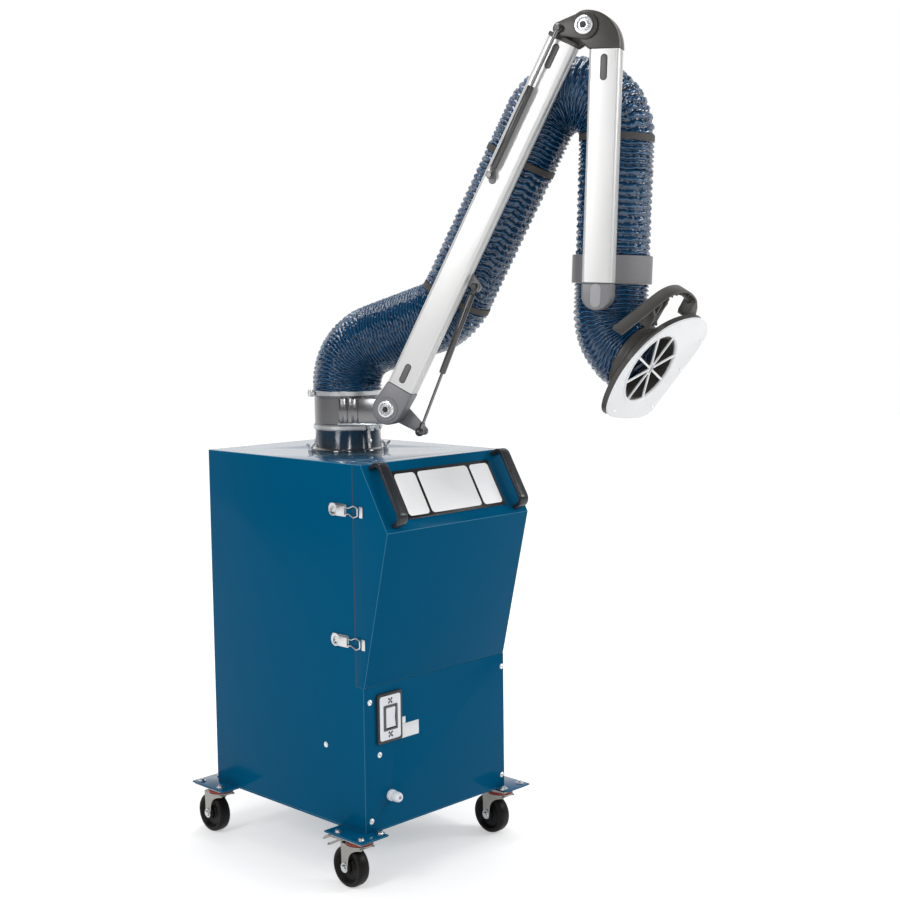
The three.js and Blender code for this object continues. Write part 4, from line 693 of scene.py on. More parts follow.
def rounded_route(points, radii, steps=12):
    """A flat route through points with its corners rounded."""
    route = [Vector(points[0])]
    for i, radius in enumerate(radii):
        corner = Vector(points[i + 1])
        back = (Vector(points[i]) - corner).normalized()
        onward = (Vector(points[i + 2]) - corner).normalized()
        half = back.angle(onward) / 2.0
        centre = corner + (back + onward).normalized() * radius / math.sin(half)
        first = corner + back * radius / math.tan(half) - centre
        last = corner + onward * radius / math.tan(half) - centre
        turn = last.angle_signed(first)
        for k in range(steps + 1):
            angle = -turn * k / steps
            route.append(centre + Vector((first.x * math.cos(angle) + first.y * math.sin(angle),
                                          first.y * math.cos(angle) - first.x * math.sin(angle))))
    return route + [Vector(points[-1])]


def band_outline(route, thickness):
    """The outline of a strip of even thickness along a flat route."""
    left = []
    right = []
    for i, point in enumerate(route):
        heading = (route[min(i + 1, len(route) - 1)] - route[max(i - 1, 0)]).normalized()
        side = Vector((-heading.y, heading.x)) * thickness / 2.0
        left.append(tuple(point + side))
        right.insert(0, tuple(point - side))
    return left + right


GRIP_ENDS = {"low": 14.0, "high": 160.0}
grip_plastic = finish("grip_moulding", (0.017, 0.019, 0.023), vary=0.15, rough=(0.2, 0.3),
                      grain=1600.0, depth=5e-5, specular=0.35)
grip_route = rounded_route([(14.0, 0.2), (14.0, 33.0), (160.0, 33.0), (160.0, 0.2)], [17.0, 17.0])
for side, grip_x in (("left", -202.0), ("right", 202.0)):
    grip = prism(band_outline(grip_route, 10.0), "X", grip_x - 14.0, grip_x + 14.0, 2.6, 3)
    fitted(f"hatch_grip_{side}", grip, slope_place, grip_plastic, "hatch", f"hatch_handle_{side}")
    for end, along in GRIP_ENDS.items():
        plug = prism(rounded(grip_x - 9.0, grip_x + 9.0, along - 3.2, along + 3.2, 2.0), "Z", 0.2, 2.4)
        fitted(f"hatch_grip_foot_{side}_{end}", plug, slope_place, black_plastic, "hatch")

# Toggle latches on both sides: zinc-plated base, a lever with a finger ring and a wire loop
# that hooks over a keeper on the hatch. The base is riveted to the shell.
SIDE_FACE = 235.0
RIVET = (2.2, 1.2, 16)


def wire(points, radius, sides=10):
    """A round wire through points."""
    spots = [Vector(point) for point in points]
    last = len(spots) - 1
    ring = []
    faces = []
    first = None
    for i, spot in enumerate(spots):
        along = (spots[min(i + 1, last)] - spots[max(i - 1, 0)]).normalized()
        first = (first - along * first.dot(along) if first else along.orthogonal()).normalized()
        second = along.cross(first)
        for k in range(sides):
            turn = 2.0 * math.pi * k / sides
            ring.append(tuple(spot + radius * (first * math.cos(turn) + second * math.sin(turn))))
            if i:
                a, b = (i - 1) * sides, i * sides
                faces.append((a + k, a + (k + 1) % sides, b + (k + 1) % sides, b + k))
    return meshed(ring, faces + [tuple(range(sides)), tuple(range(last * sides, (last + 1) * sides))])


def beside(sign, near, far):
    """Two depths beside the cabinet, lower one first."""
    return sorted((sign * (SIDE_FACE + near), sign * (SIDE_FACE + far)))


finger_ring = [arc(-197.0, 0.0, radius, 0.0, 2.0 * math.pi, 32)[:-1] for radius in (14.5, 8.0)]
loop_route = rounded_route([(-232.0, -9.0), (-252.0, -7.0), (-268.0, -13.5), (-281.0, -9.0), (-281.0, 9.0),
                            (-268.0, 13.5), (-252.0, 7.0), (-232.0, 9.0)], [4.0] * 6, 5)
for height, latch_z in (("lower", 582.0), ("upper", 888.0)):
    spot = cabinet_place @ shift(0.0, 0.0, latch_z)
    for side, sign in (("left", -1.0), ("right", 1.0)):
        corner = f"{height}_{side}"
        lever = spot, zinc, f"latch_{corner}"
        base = prism(rounded(-240.0, -182.0, -14.5, 14.5, 5.0), "X", *beside(sign, 0.3, 2.6), 0.6)
        fitted(f"latch_plate_{corner}", base, spot, zinc, "cabinet", f"latch_base_{corner}")
        ring = framed(*finger_ring, "X", *beside(sign, 3.2, 5.8), 0.7)
        fitted(f"latch_ring_{corner}", ring, *lever, f"latch_lever_{corner}")
        block = prism(rounded(-238.0, -209.0, -12.0, 12.0, 3.0), "X", *beside(sign, 3.0, 7.0), 1.2)
        fitted(f"latch_block_{corner}", block, *lever)
        loop = wire([(sign * (SIDE_FACE + 4.6), point.x, point.y) for point in loop_route], 1.7)
        fitted(f"latch_loop_{corner}", loop, *lever)
        keeper = prism(rounded(-296.0, -284.0, -13.0, 13.0, 2.0), "X", *beside(sign, 0.3, 2.8), 0.6)
        fitted(f"latch_keeper_{corner}", keeper, spot, zinc, "hatch")
        rivets = [(sign * (SIDE_FACE + 2.6), -190.0, rivet_z) for rivet_z in (10.5, -10.5)]
        screwed(f"latch_rivets_{corner}", rivets, side, RIVET, spot, zinc, "cabinet")

# Arm foot: a dark coated steel spigot riveted to the cabinet top, and a turning collar above it
# under a clamp band. The collar's welded saddle and bracket carry the arm.
CABINET_TOP = 995.5
ARM_HEADING = math.radians(-67.2)
DUCT_BORE = 79.0
DUCT_WALL = 83.0
COLLAR_FOOT = 58.3
COLLAR_TOP = 139.3
PIVOT = (166.0, 111.5)
LEVER_END = (243.0, 57.5)
LINK_BACK = 89.0
LINK_FACE = 131.0
SADDLE_FACE = -88.7
SADDLE_GROOVE = -84.5
arm_place = cabinet_place @ shift(0.0, SWIVEL_SETBACK, CABINET_TOP) @ spin(ARM_HEADING, "Z")
gunmetal = finish("dark_glossy_sheet", (0.26, 0.255, 0.255), vary=0.15, patch=14.0,
                  rough=(0.12, 0.2), metal=0.95, coat=0.4)
collar_coat = finish("dark_satin_sheet", (0.22, 0.22, 0.225), vary=0.05, patch=10.0,
                     rough=(0.18, 0.24), metal=0.85)
grey_casting = finish("grey_cast_knuckle", (0.20, 0.20, 0.212), vary=0.1, patch=18.0,
                      rough=(0.36, 0.5), grain=1100.0, depth=4e-5, metal=0.2)
spigot = lathe([(DUCT_BORE, 0.3), (89.0, 0.3), (89.0, 3.2), (87.8, 4.3), (84.6, 4.6), (DUCT_WALL, 6.6),
                (DUCT_WALL, 49.0), (83.9, 51.0), (83.9, 56.0), (DUCT_WALL, 58.0), (DUCT_BORE, 58.0)], 128)
fitted("foot_spigot", spigot, arm_place, gunmetal, "cabinet", "top_spigot")
collar = lathe([(DUCT_BORE, COLLAR_FOOT), (83.6, COLLAR_FOOT), (84.4, 60.0), (84.4, 66.0), (DUCT_WALL, 68.0),
                (DUCT_WALL, 131.0), (83.7, 132.0), (83.7, COLLAR_TOP), (DUCT_BORE, COLLAR_TOP)], 128)
fitted("foot_collar", collar, arm_place, collar_coat, "swivel", "swivel_collar")
saddle_front = [(149.0, SADDLE_FACE), (72.0, SADDLE_FACE), (66.0, SADDLE_GROOVE), (58.0, SADDLE_GROOVE),
                (52.0, SADDLE_FACE), (44.0, SADDLE_FACE), (38.0, SADDLE_GROOVE), (30.0, SADDLE_GROOVE),
                (24.0, SADDLE_FACE), (17.0, -86.0)]
saddle = prism([(17.0, -58.0), (83.0, -42.0), (149.0, -79.7)] + saddle_front, "Z", 72.3, 132.3, 1.2)
flange = prism([(14.0, -60.0), (83.0, -44.0), (122.0, -66.0), (122.0, -88.4), (14.0, -88.4)], "Z",
               67.5, 72.0, 0.8)
fitted("foot_saddle_flange", flange, arm_place, zinc, "swivel")
fitted("foot_saddle", saddle, arm_place, collar_coat, "swivel")
bracket = prism(strap_outline(PIVOT, 28.0, LEVER_END, 10.0, 28), "W", 79.7, 88.7, 2.0)
fitted("foot_bracket", bracket, arm_place, grey_casting, "swivel")
CLAMP_BANDS = {"swivel_clamp_band": (54.0, 63.5, 87.0, 71.0), "hose_clamp_band": (137.0, 149.0, 88.2, -52.0)}
barrel = [(0.0, -8.5), (4.6, -8.5), (5.4, -7.7), (5.4, 7.7), (4.6, 8.5), (0.0, 8.5)]
clamp_bolt = [(0.0, -21.0), (5.2, -21.0), (5.2, -17.0), (2.7, -16.5), (2.7, 23.0), (0.0, 23.0)]
clamp_nut = [(0.0, 14.5), (5.6, 14.5), (6.4, 15.3), (6.4, 19.7), (5.6, 20.5), (0.0, 20.5)]
for name, (low, high, reach, turn) in CLAMP_BANDS.items():
    band = lathe([(84.5, low), (reach - 0.8, low), (reach, low + 0.8), (reach, high - 0.8),
                  (reach - 0.8, high), (84.5, high)], 128)
    fitted(name, band, arm_place, zinc, "swivel")
    spot = arm_place @ spin(math.radians(turn), "Z") @ shift(0.0, -reach - 5.2, (low + high) / 2.0)
    for side, x in (("left", -11.0), ("right", 9.0)):
        fitted(f"{name}_barrel_{side}", lathe(barrel, 24), spot @ shift(x, 0.0, 0.0), bright_zinc, "swivel")
    lying = spot @ spin(QUARTER, "Y")
    fitted(f"{name}_bolt", lathe(clamp_bolt, 20), lying, bright_zinc, "swivel")
    fitted(f"{name}_nut", lathe(clamp_nut, 6), lying, bright_zinc, "swivel")
for number in range(3):
    rivet_place = arm_place @ spin(math.radians(120.0 * number - 24.0), "Z")
    screwed(f"spigot_rivet_{number + 1}", [(DUCT_WALL, 0.0, 24.0)], "right", (4.4, 3.0, 20), rivet_place,
            bright_zinc, "cabinet")
wing_stud = [(0.0, 0.0), (7.0, 0.0), (7.0, 2.0), (4.5, 2.5), (4.5, 9.0), (3.0, 10.0), (0.0, 10.0)]
for number, wing_turn in enumerate((37.0, 217.0)):
    spot = arm_place @ spin(math.radians(wing_turn), "Z") @ shift(96.0, 0.0, 0.0)
    fitted(f"wing_screw_{number + 1}", lathe(wing_stud, 24), spot, bright_zinc, "cabinet")
    for side, x in (("left", -9.0), ("right", 9.0)):
        wing = prism(strap_outline((x, 15.0), 3.2, (0.0, 6.5), 3.6, 10), "W", -1.4, 1.4, 0.5)
        fitted(f"wing_screw_{side}_{number + 1}", wing, spot, bright_zinc, "cabinet")

# Lower link: a pale anodised aluminium extrusion between a cast knuckle at the foot and a dark
# moulded cap at the elbow. A cup washer and a socket screw hold each pivot.
LOWER_ANGLE = math.radians(62.4)
LOWER_SPAN = (63.0, 934.0)
LOWER_SQUARE = -7.0
ELBOW = (985.0, -43.0)
HALF_LINK = 35.0
lower_place = arm_place @ shift(PIVOT[0], 0.0, PIVOT[1]) @ spin(-LOWER_ANGLE, "Y")
link_pale = finish("pale_anodised_link", (0.68, 0.68, 0.675), vary=0.03, patch=8.0,
                   rough=(0.30, 0.38), grain=1600.0, depth=6e-6, metal=0.3)
dark_plastic = finish("dark_moulding", (0.060, 0.057, 0.052), vary=0.1, patch=16.0,
                      rough=(0.36, 0.48), grain=1300.0, depth=4e-5, specular=0.35)
knuckle = [(62.7, 28.0)] + arc(0.0, 0.0, 38.0, QUARTER, 3.0 * QUARTER, 36) + [(62.7, -42.0)]
fitted("foot_knuckle", prism(knuckle, "W", LINK_BACK, LINK_FACE, 5.0, 4), lower_place, grey_casting,
       "lower_arm", "lower_knuckle")
boss = lathe([(0.0, 130.5), (29.0, 130.5), (29.0, 131.9), (28.0, 132.9), (0.0, 132.9)], 64)
fitted("foot_knuckle_boss", boss, lower_place @ spin(QUARTER, "X"), grey_casting, "lower_arm")


def link_section(offset):
    """The extrusion's outline in (y, z): round corners and a groove in each narrow side."""
    top = offset + HALF_LINK
    foot = offset - HALF_LINK
    corners = rounded(-LINK_FACE, -LINK_BACK, foot, top, 9.0, 8)
    groove = [(-106.5, 0.0), (-107.5, 1.6), (-112.5, 1.6), (-113.5, 0.0)]
    upper = [(y, top - dip) for y, dip in groove]
    lower = [(y, foot + dip) for y, dip in reversed(groove)]
    return corners[:9] + upper + corners[9:27] + lower + corners[27:]


fitted("lower_link_extrusion", prism(link_section(LOWER_SQUARE), "X", *LOWER_SPAN), lower_place, link_pale,
       "lower_arm", "lower_link_tube", sharp=40.0)
tongue = ([(934.3, -42.0)] + arc(*ELBOW, HALF_LINK, -QUARTER, math.pi / 3.0, 24)
          + [(942.3, 28.0), (934.3, 28.0)])
fitted("elbow_cap_tongue", prism(tongue, "W", LINK_BACK, 109.7, 3.0, 3), lower_place, dark_plastic,
       "lower_arm", "lower_link_cap")
cap_plate = prism(rounded(934.3, 944.0, -42.0, 28.0, 3.0), "W", LINK_BACK, LINK_FACE - 0.5, 2.0, 3)
fitted("elbow_cap_plate", cap_plate, lower_place, dark_plastic, "lower_arm")
insert_grey = finish("grey_insert", (0.115, 0.112, 0.11), rough=(0.4, 0.5))


def oval_insert(name, first, second, place, body):
    """A dark oval plug in the link's face with a paler raised middle."""
    plug = prism(strap_outline(first, 8.0, second, 8.0), "W", LINK_FACE - 1.0, LINK_FACE + 0.7, 0.4)
    fitted(name, plug, place, dark_plastic, body)
    middle = prism(strap_outline(first, 5.999, second, 6.0), "W", LINK_FACE, LINK_FACE + 1.2, 0.4)
    fitted(f"{name}_middle", middle, place, insert_grey, body)


oval_insert("lower_insert_foot", (82.0, -5.0), (116.0, -4.9), lower_place, "lower_arm")
oval_insert("lower_insert_elbow", (875.0, -3.2), (917.0, -3.1), lower_place, "lower_arm")


def pivot_screw(name, x, z, face, place, body, *replaced):
    """A pale cup washer with a socket screw sunk in it, facing along w."""
    spot = place @ shift(x, -face, z) @ spin(QUARTER, "X")
    cup = lathe([(0.0, 0.0), (20.0, 0.0), (20.5, 1.0), (20.5, 4.0), (19.0, 6.0), (15.5, 6.4), (12.5, 3.4),
                 (0.0, 3.0)], 64)
    fitted(name, cup, spot, bright_zinc, body, *replaced)
    head = lathe([(7.0, 3.0), (11.0, 3.0), (11.0, 7.4), (10.2, 8.2), (7.6, 8.2), (7.0, 7.6)], 48)
    fitted(f"{name}_head", head, spot, zinc, body)
    # The socket is filled with a dark hex: painted shade in the recess.
    socket_shade = lathe([(0.0, 3.0), (7.2, 3.0), (7.2, 6.2), (4.0, 6.2), (3.4, 7.4), (0.0, 7.4)], 6)
    fitted(f"{name}_socket", socket_shade, spot, black_plastic, body)


pivot_screw("foot_pivot_screw", *PIVOT, LINK_FACE + 0.3, arm_place, "swivel", "lower_pivot_bolt")

# Upper link: a shorter length of the same extrusion that hangs from a domed dark elbow casting
# and ends in a grey cap. The hose ring is clamped behind its lower end.
UPPER_TILT = math.radians(2.2)
UPPER_SQUARE = 45.0
UPPER_SPAN = (51.0, 560.0)
LEVER_TIP = (-57.0, -5.0)
upper_place = lower_place @ shift(ELBOW[0], 0.0, ELBOW[1]) @ spin(LOWER_ANGLE + UPPER_TILT, "Y")
elbow_grey = finish("dark_elbow_casting", (0.056, 0.053, 0.047), vary=0.1, patch=14.0,
                    rough=(0.28, 0.4), grain=1200.0, depth=4e-5, specular=0.4)
dome_edge = bezier((80.0, -50.7), (80.0, 0.0), (45.0, 35.0), (0.0, 35.0), 28)
dome = ([(10.0, -50.7), (80.0, -50.7)] + dome_edge
        + arc(0.0, 0.0, HALF_LINK, QUARTER, 2.0 * QUARTER + 0.5, 20)[1:])
fitted("elbow_dome", prism(dome, "W", 110.3, LINK_FACE + 0.2, 4.5, 4), upper_place, elbow_grey, "upper_arm",
       "elbow_knuckle")
outer_rim = [(80.0, -50.7)] + [spot for spot in dome_edge if math.hypot(*spot) > 40.5]
rim_end = math.atan2(outer_rim[-1][1], outer_rim[-1][0])
inner_rim = arc(0.0, 0.0, 39.5, rim_end, -math.radians(76.0), 20)
dome_back = prism([(10.0, -50.7)] + outer_rim + inner_rim, "W", LINK_BACK, 110.6, 2.5, 3)
fitted("elbow_dome_back", dome_back, upper_place, elbow_grey, "upper_arm")
elbow_lever = prism(strap_outline((0.0, 0.0), 30.0, LEVER_TIP, 15.0, 28), "W", LINK_FACE, 139.3, 2.2, 3)
fitted("elbow_lever", elbow_lever, upper_place, elbow_grey, "upper_arm")
pivot_screw("elbow_pivot_screw", *ELBOW, 139.6, lower_place, "lower_arm", "elbow_bolt")
fitted("upper_link_extrusion", prism(link_section(UPPER_SQUARE), "X", *UPPER_SPAN),
       upper_place @ spin(QUARTER, "Y"), link_pale, "upper_arm", "upper_link_tube", sharp=40.0)
oval_insert("upper_insert", (46.0, -70.0), (46.0, -111.0), upper_place, "upper_arm")
end_cap = ([(10.0, -560.3)] + arc(UPPER_SQUARE, -587.3, HALF_LINK, 2.0 * QUARTER, 4.0 * QUARTER, 40)
           + [(80.0, -560.3)])
fitted("upper_end_cap", prism(end_cap, "W", LINK_BACK, LINK_FACE, 6.0, 4), upper_place, grey_casting,
       "upper_arm", "upper_link_cap")
inset_grey = finish("pale_grey_inset", (0.34, 0.34, 0.35), rough=(0.4, 0.5), grain=1100.0,
                    depth=3e-5)
cap_inset = prism(strap_outline((UPPER_SQUARE, -575.0), 12.0, (UPPER_SQUARE, -603.0), 12.001, 20), "W",
                  LINK_FACE - 0.5, LINK_FACE + 1.2, 0.6)
fitted("end_cap_inset", cap_inset, upper_place, inset_grey, "upper_arm")

# Gas springs: black painted steel cylinders with a dark ground rod and moulded eyes, pinned beside
# the lower link. One lifts the arm, the other balances the upper link.
LIFT_FOOT = (356.0, -63.0)
BALL_RADIUS = 11.0
BALL_STEPS = 8
rod_dark = finish("ground_spring_rod", (0.16, 0.16, 0.165), vary=0.06, patch=40.0, rough=(0.12, 0.2),
                  metal=0.9)
spring_black = finish("spring_enamel", (0.035, 0.034, 0.034), vary=0.2, patch=18.0,
                      rough=(0.16, 0.26), coat=0.4)


def gas_spring(name, foot, tip, w, length, bodies):
    """A spring from foot to tip, both (along, square) on the lower link, at w in front of it."""
    run = tip - foot
    base = lower_place @ shift(foot.x, -w, foot.y) @ spin(-math.atan2(run.y, run.x), "Y")
    along = base @ spin(QUARTER, "Y")
    cylinder = lathe([(0.0, 6.0), (4.5, 6.0), (4.5, 17.0), (7.0, 18.0), (8.0, 20.0), (8.0, length - 3.0),
                      (7.2, length - 0.6), (5.0, length), (0.0, length)], 40)
    fitted(f"{name}_tube", cylinder, along, spring_black, bodies[0], f"{name}_cylinder")
    rod = lathe([(0.0, length - 30.0), (3.6, length - 30.0), (3.6, run.length - 24.0),
                 (6.0, run.length - 23.0), (6.0, run.length - 6.0), (0.0, run.length - 6.0)], 32)
    fitted(f"{name}_rod_bar", rod, along, rod_dark, bodies[1], f"{name}_rod")
    eye = [(4.2, -5.0), (8.0, -5.0), (9.5, -3.5), (9.5, 3.5), (8.0, 5.0), (4.2, 5.0)]
    pin = [(0.0, -7.5), (4.0, -7.5), (4.0, 7.0), (6.5, 7.0), (6.5, 9.0), (5.5, 10.0), (0.0, 10.0)]
    for end, spot, body in (("foot", 0.0, bodies[0]), ("tip", run.length, bodies[1])):
        turned = base @ shift(spot, 0.0, 0.0) @ spin(QUARTER, "X")
        fitted(f"{name}_eye_{end}", lathe(eye, 40), turned, spring_black, body)
        fitted(f"{name}_pin_{end}", lathe(pin, 32), turned, spring_black, body)


def flat_on(base, place, x, z):
    """A spot of one place, as a flat spot of another."""
    spot = base.inverted() @ (place @ Vector((x, 0.0, z)))
    return Vector((spot.x, spot.z))


gas_spring("lift_spring", Vector(LIFT_FOOT), flat_on(lower_place, arm_place, *LEVER_END), 110.0, 218.0,
           ("lift_cylinder", "lift_rod"))
gas_spring("elbow_spring", Vector((604.0, 6.0)), flat_on(lower_place, upper_place, *LEVER_TIP), 145.6, 215.0,
           ("elbow_cylinder", "elbow_rod"))
ball_turns = [t / BALL_STEPS * QUARTER for t in range(1 - BALL_STEPS, BALL_STEPS)]
ball_side = [(BALL_RADIUS * math.cos(t), BALL_RADIUS * math.sin(t)) for t in ball_turns]
ball = lathe([(0.0, -BALL_RADIUS)] + ball_side + [(0.0, BALL_RADIUS)], 40)
ball_place = arm_place @ shift(LEVER_END[0], -112.0, LEVER_END[1])
fitted("lift_spring_ball", ball, ball_place, spring_black, "lift_rod")
spring_foot = prism(strap_outline((594.0, 1.0), 9.0, (622.0, 13.0), 7.0, 16), "W", LINK_FACE, 134.0, 0.8)
fitted("elbow_spring_foot", spring_foot, lower_place, grey_casting, "lower_arm")
lift_foot = prism(strap_outline(LIFT_FOOT, 12.0, (372.0, -34.0), 12.0, 16), "W", 94.0, 103.0, 1.2)
fitted("lift_spring_foot", lift_foot, lower_place, grey_casting, "lower_arm")

# Hose: glossy navy coated fabric over a wire helix, so that it crinkles between close ribs.
# Clamped to the collar, the ring and the hood's neck, and made in stretches between them.
HOSE_RADIUS = 86.8
HOSE_SIDES = 168
STEPS_PER_RIB = 7.0
RIB_WAVER = (2.2, 2.2)
CREASE_FINE = 7.0
CREASE_CLIMB = 0.10
CREASE_SHARE = 4.0
TROUGH_SHARE = 0.55
BEND_STEPS = 40
# A darker navy for the troughs between the ribs: painted shade.
TROUGH_SHADE_NAVY = (0.0005, 0.009, 0.032, 1.0)
hose_navy = finish("navy_coated_fabric", (0.0035, 0.070, 0.170), vary=0.35, patch=60.0,
                   rough=(0.07, 0.15), grain=160.0, depth=6e-4, specular=0.75)
# The finish turns to the darker navy in the troughs, as painted shade in the creases.
tinted_by(hose_navy, "trough", TROUGH_SHADE_NAVY)


def hose_tree():
    """A tube along a path with even ribs, wrinkled between them by a seeded noise."""
    tree, given = tree_of("ribbed_hose", {"Radius": 85.0, "Rib Pitch": 14.0, "Rib Depth": 5.0, "Wrinkle": 2.0,
                                          "Step": 2.0, "Sides": 96, "Seed": 1.0})

    def summed(operation, *values):
        return math_in(tree, operation, *values)

    def vector(operation, *vectors, **scale):
        inputs = {**dict(enumerate(vectors)), **scale}
        return node_in(tree, "ShaderNodeVectorMath", inputs, operation=operation).outputs[0]

    def noise(place, detail):
        inputs = {"Vector": place, "W": given["Seed"], "Scale": 1.0, "Detail": detail}
        return node_in(tree, "ShaderNodeTexNoise", inputs, noise_dimensions="4D").outputs[0]

    path = node_in(tree, "GeometryNodeMeshToCurve", {"Mesh": given["Geometry"]})
    even = node_in(tree, "GeometryNodeResampleCurve", {"Curve": path.outputs[0], "Length": given["Step"]},
                   mode="LENGTH")
    position = tree.nodes.new("GeometryNodeInputPosition").outputs[0]
    travelled = tree.nodes.new("GeometryNodeSplineParameter").outputs["Length"]
    keep = tree.nodes.new("GeometryNodeCaptureAttribute")
    keep.capture_items.new("VECTOR", "centre")
    keep.capture_items.new("FLOAT", "length")
    wired(tree, keep, {"Geometry": even.outputs[0], "centre": position, "length": travelled})
    circle = node_in(tree, "GeometryNodeCurvePrimitiveCircle",
                     {"Resolution": given["Sides"], "Radius": given["Radius"]})
    tube = node_in(tree, "GeometryNodeCurveToMesh",
                   {"Curve": keep.outputs["Geometry"], "Profile Curve": circle.outputs[0]})
    length = keep.outputs["length"]
    outward = vector("NORMALIZE", vector("SUBTRACT", position, keep.outputs["centre"]))
    waver = summed("MULTIPLY", noise(vector("SCALE", outward, Scale=RIB_WAVER[0]), 2.0), RIB_WAVER[1])
    phase = summed("ADD", summed("DIVIDE", length, given["Rib Pitch"]), waver)
    wave = summed("COSINE", summed("MULTIPLY", phase, 2.0 * math.pi))
    dip = summed("MULTIPLY", summed("ADD", summed("MULTIPLY", wave, 0.5), 0.5), given["Rib Depth"])
    climb = node_in(tree, "ShaderNodeCombineXYZ", {"Z": summed("MULTIPLY", length, CREASE_CLIMB)}).outputs[0]
    crease = noise(vector("ADD", vector("SCALE", outward, Scale=CREASE_FINE), climb), 3.0)
    ridge = summed("ABSOLUTE", summed("SUBTRACT", crease, 0.5))
    fold = summed("MULTIPLY", summed("MULTIPLY", ridge, CREASE_SHARE), given["Wrinkle"])
    depth = summed("ADD", dip, fold)
    inward = vector("SCALE", outward, Scale=summed("MULTIPLY", depth, -1.0))
    shaped = node_in(tree, "GeometryNodeSetPosition", {"Geometry": tube.outputs[0], "Offset": inward})
    deepest = summed("MULTIPLY_ADD", given["Wrinkle"], TROUGH_SHARE, given["Rib Depth"])
    # How deep each point lies, which darkens the finish there as painted shade in the troughs.
    shaded = node_in(tree, "GeometryNodeStoreNamedAttribute",
                     {"Name": "trough", "Geometry": shaped.outputs[0],
                      "Value": summed("MINIMUM", summed("DIVIDE", depth, deepest), 1.0)})
    smooth = node_in(tree, "GeometryNodeSetShadeSmooth", {0: shaded.outputs[0]})
    return tree_ended(tree, given, smooth.outputs[0])


ribbed_hose = hose_tree()


def line_meet(start, start_angle, end, end_angle):
    """Where two lines cross, each given by a spot and an angle."""
    span = end - start
    along = (span.x * math.sin(end_angle) - span.y * math.cos(end_angle)) / math.sin(end_angle - start_angle)
    return start + along * Vector((math.cos(start_angle), math.sin(start_angle)))


def stretch_of(route, start, end):
    """The part of a flat route between two lengths along it."""
    spots = []
    travelled = 0.0
    for a, b in zip(route, route[1:]):
        step = (b - a).length
        if travelled + step > start and travelled < end:
            if not spots:
                spots.append(a.lerp(b, max(0.0, (start - travelled) / step)))
            spots.append(a.lerp(b, min(1.0, (end - travelled) / step)))
        travelled += step
    return spots


def hose_piece(part, spots, place, pitch, depth, wrinkle, body, seed):
    """One stretch of the hose along flat spots."""
    line = meshed([(x, 0.0, z) for x, z in spots], [], [(i, i + 1) for i in range(len(spots) - 1)])
    values = {"Radius": HOSE_RADIUS, "Rib Pitch": pitch, "Rib Depth": depth, "Wrinkle": wrinkle,
              "Step": pitch / STEPS_PER_RIB, "Sides": HOSE_SIDES, "Seed": seed, "Finish": hose_navy}
    return fitted(f"hose_{part}_stretch", grown(line, ribbed_hose, values), place, hose_navy, body,
                  f"hose_{part}", sharp=180.0)


hose_start = Vector((0.0, COLLAR_TOP + 0.3))
foot_corner = Vector((0.0, COLLAR_TOP + 110.0))
lower_line = flat_on(arm_place, lower_place, 0.0, LOWER_SQUARE + 12.0)
link_corner = line_meet(foot_corner, math.radians(18.0), lower_line, LOWER_ANGLE)
hose_end = flat_on(arm_place, upper_place, UPPER_SQUARE, -496.7)
crown_corner = line_meet(lower_line, LOWER_ANGLE, hose_end, -QUARTER - UPPER_TILT)
hose_route = rounded_route([hose_start, foot_corner, link_corner, crown_corner, hose_end],
                           [118.0, 105.0, 98.0], BEND_STEPS)
LINK_BEND_END = 2 * BEND_STEPS + 2
CROWN_START = LINK_BEND_END + 1
CROWN_END = CROWN_START + BEND_STEPS
reached = [0.0]
for a, b in zip(hose_route, hose_route[1:]):
    reached.append(reached[-1] + (b - a).length)
PAST_LINK_BEND = 20.0
BEFORE_CROWN = 95.0
PAST_CROWN = 79.0
cuts = [0.0, reached[LINK_BEND_END] + PAST_LINK_BEND, reached[CROWN_START] - BEFORE_CROWN,
        reached[CROWN_END] + PAST_CROWN, reached[-1]]
HOSE_PARTS = {"foot": (8.0, 5.0, 4.0, None), "lower": (15.0, 5.0, 7.0, "lower_arm"),
              "elbow": (11.0, 5.5, 5.0, None), "upper": (15.0, 5.0, 7.0, "upper_arm")}
hose = {}
for number, (part, build) in enumerate(HOSE_PARTS.items()):
    spots = stretch_of(hose_route, cuts[number], cuts[number + 1])
    hose[part] = hose_piece(part, spots, arm_place, *build, number + 1.0)


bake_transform(hose["foot"])
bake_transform(hose["elbow"])

# Hose straps: dark webbing bands round the hose, riveted behind the links, and the grey duct
# ring at the lower end, a moulded band with a spider inside that carries the hood's stem.
RING_TOP = -497.0
RING_FOOT = -562.0
RING_FLAT = -88.6
webbing = finish("dark_strap_webbing", (0.055, 0.05, 0.046), vary=0.2, patch=50.0,
                 rough=(0.6, 0.75), grain=700.0, depth=2e-4)
strap_section = [(82.0, -7.5), (86.0, -7.5), (86.6, -6.8), (86.6, 6.8), (86.0, 7.5), (82.0, 7.5)]
ring_place = upper_place @ shift(UPPER_SQUARE, 0.0, 0.0)
for name, along in (("hose_strap_low", 295.0), ("hose_strap_high", 653.0)):
    spot = lower_place @ shift(along, 0.0, 5.0) @ spin(QUARTER, "Y")
    fitted(name, lathe(strap_section, 96), spot, webbing, "lower_arm")
fitted("hose_strap_upper", lathe(strap_section, 96), upper_place @ shift(UPPER_SQUARE, 0.0, -232.0), webbing,
       "upper_arm")
ring = lathe([(DUCT_BORE, RING_FOOT), (91.0, RING_FOOT), (92.5, RING_FOOT + 1.5), (92.5, RING_TOP - 1.5),
              (91.0, RING_TOP), (DUCT_BORE, RING_TOP)], 128)
for vertex in ring.vertices:
    vertex.co.y = max(vertex.co.y, RING_FLAT)
fitted("duct_ring", ring, ring_place, grey_casting, "upper_arm", "hose_ring")
for turn, name in ((0.0, "first"), (QUARTER, "second")):
    bar = prism(rounded(-5.0, 5.0, -539.5, -519.5, 1.5), "X", -80.0, 80.0)
    fitted(f"ring_spider_{name}", bar, ring_place @ spin(turn, "Z"), grey_casting, "upper_arm")

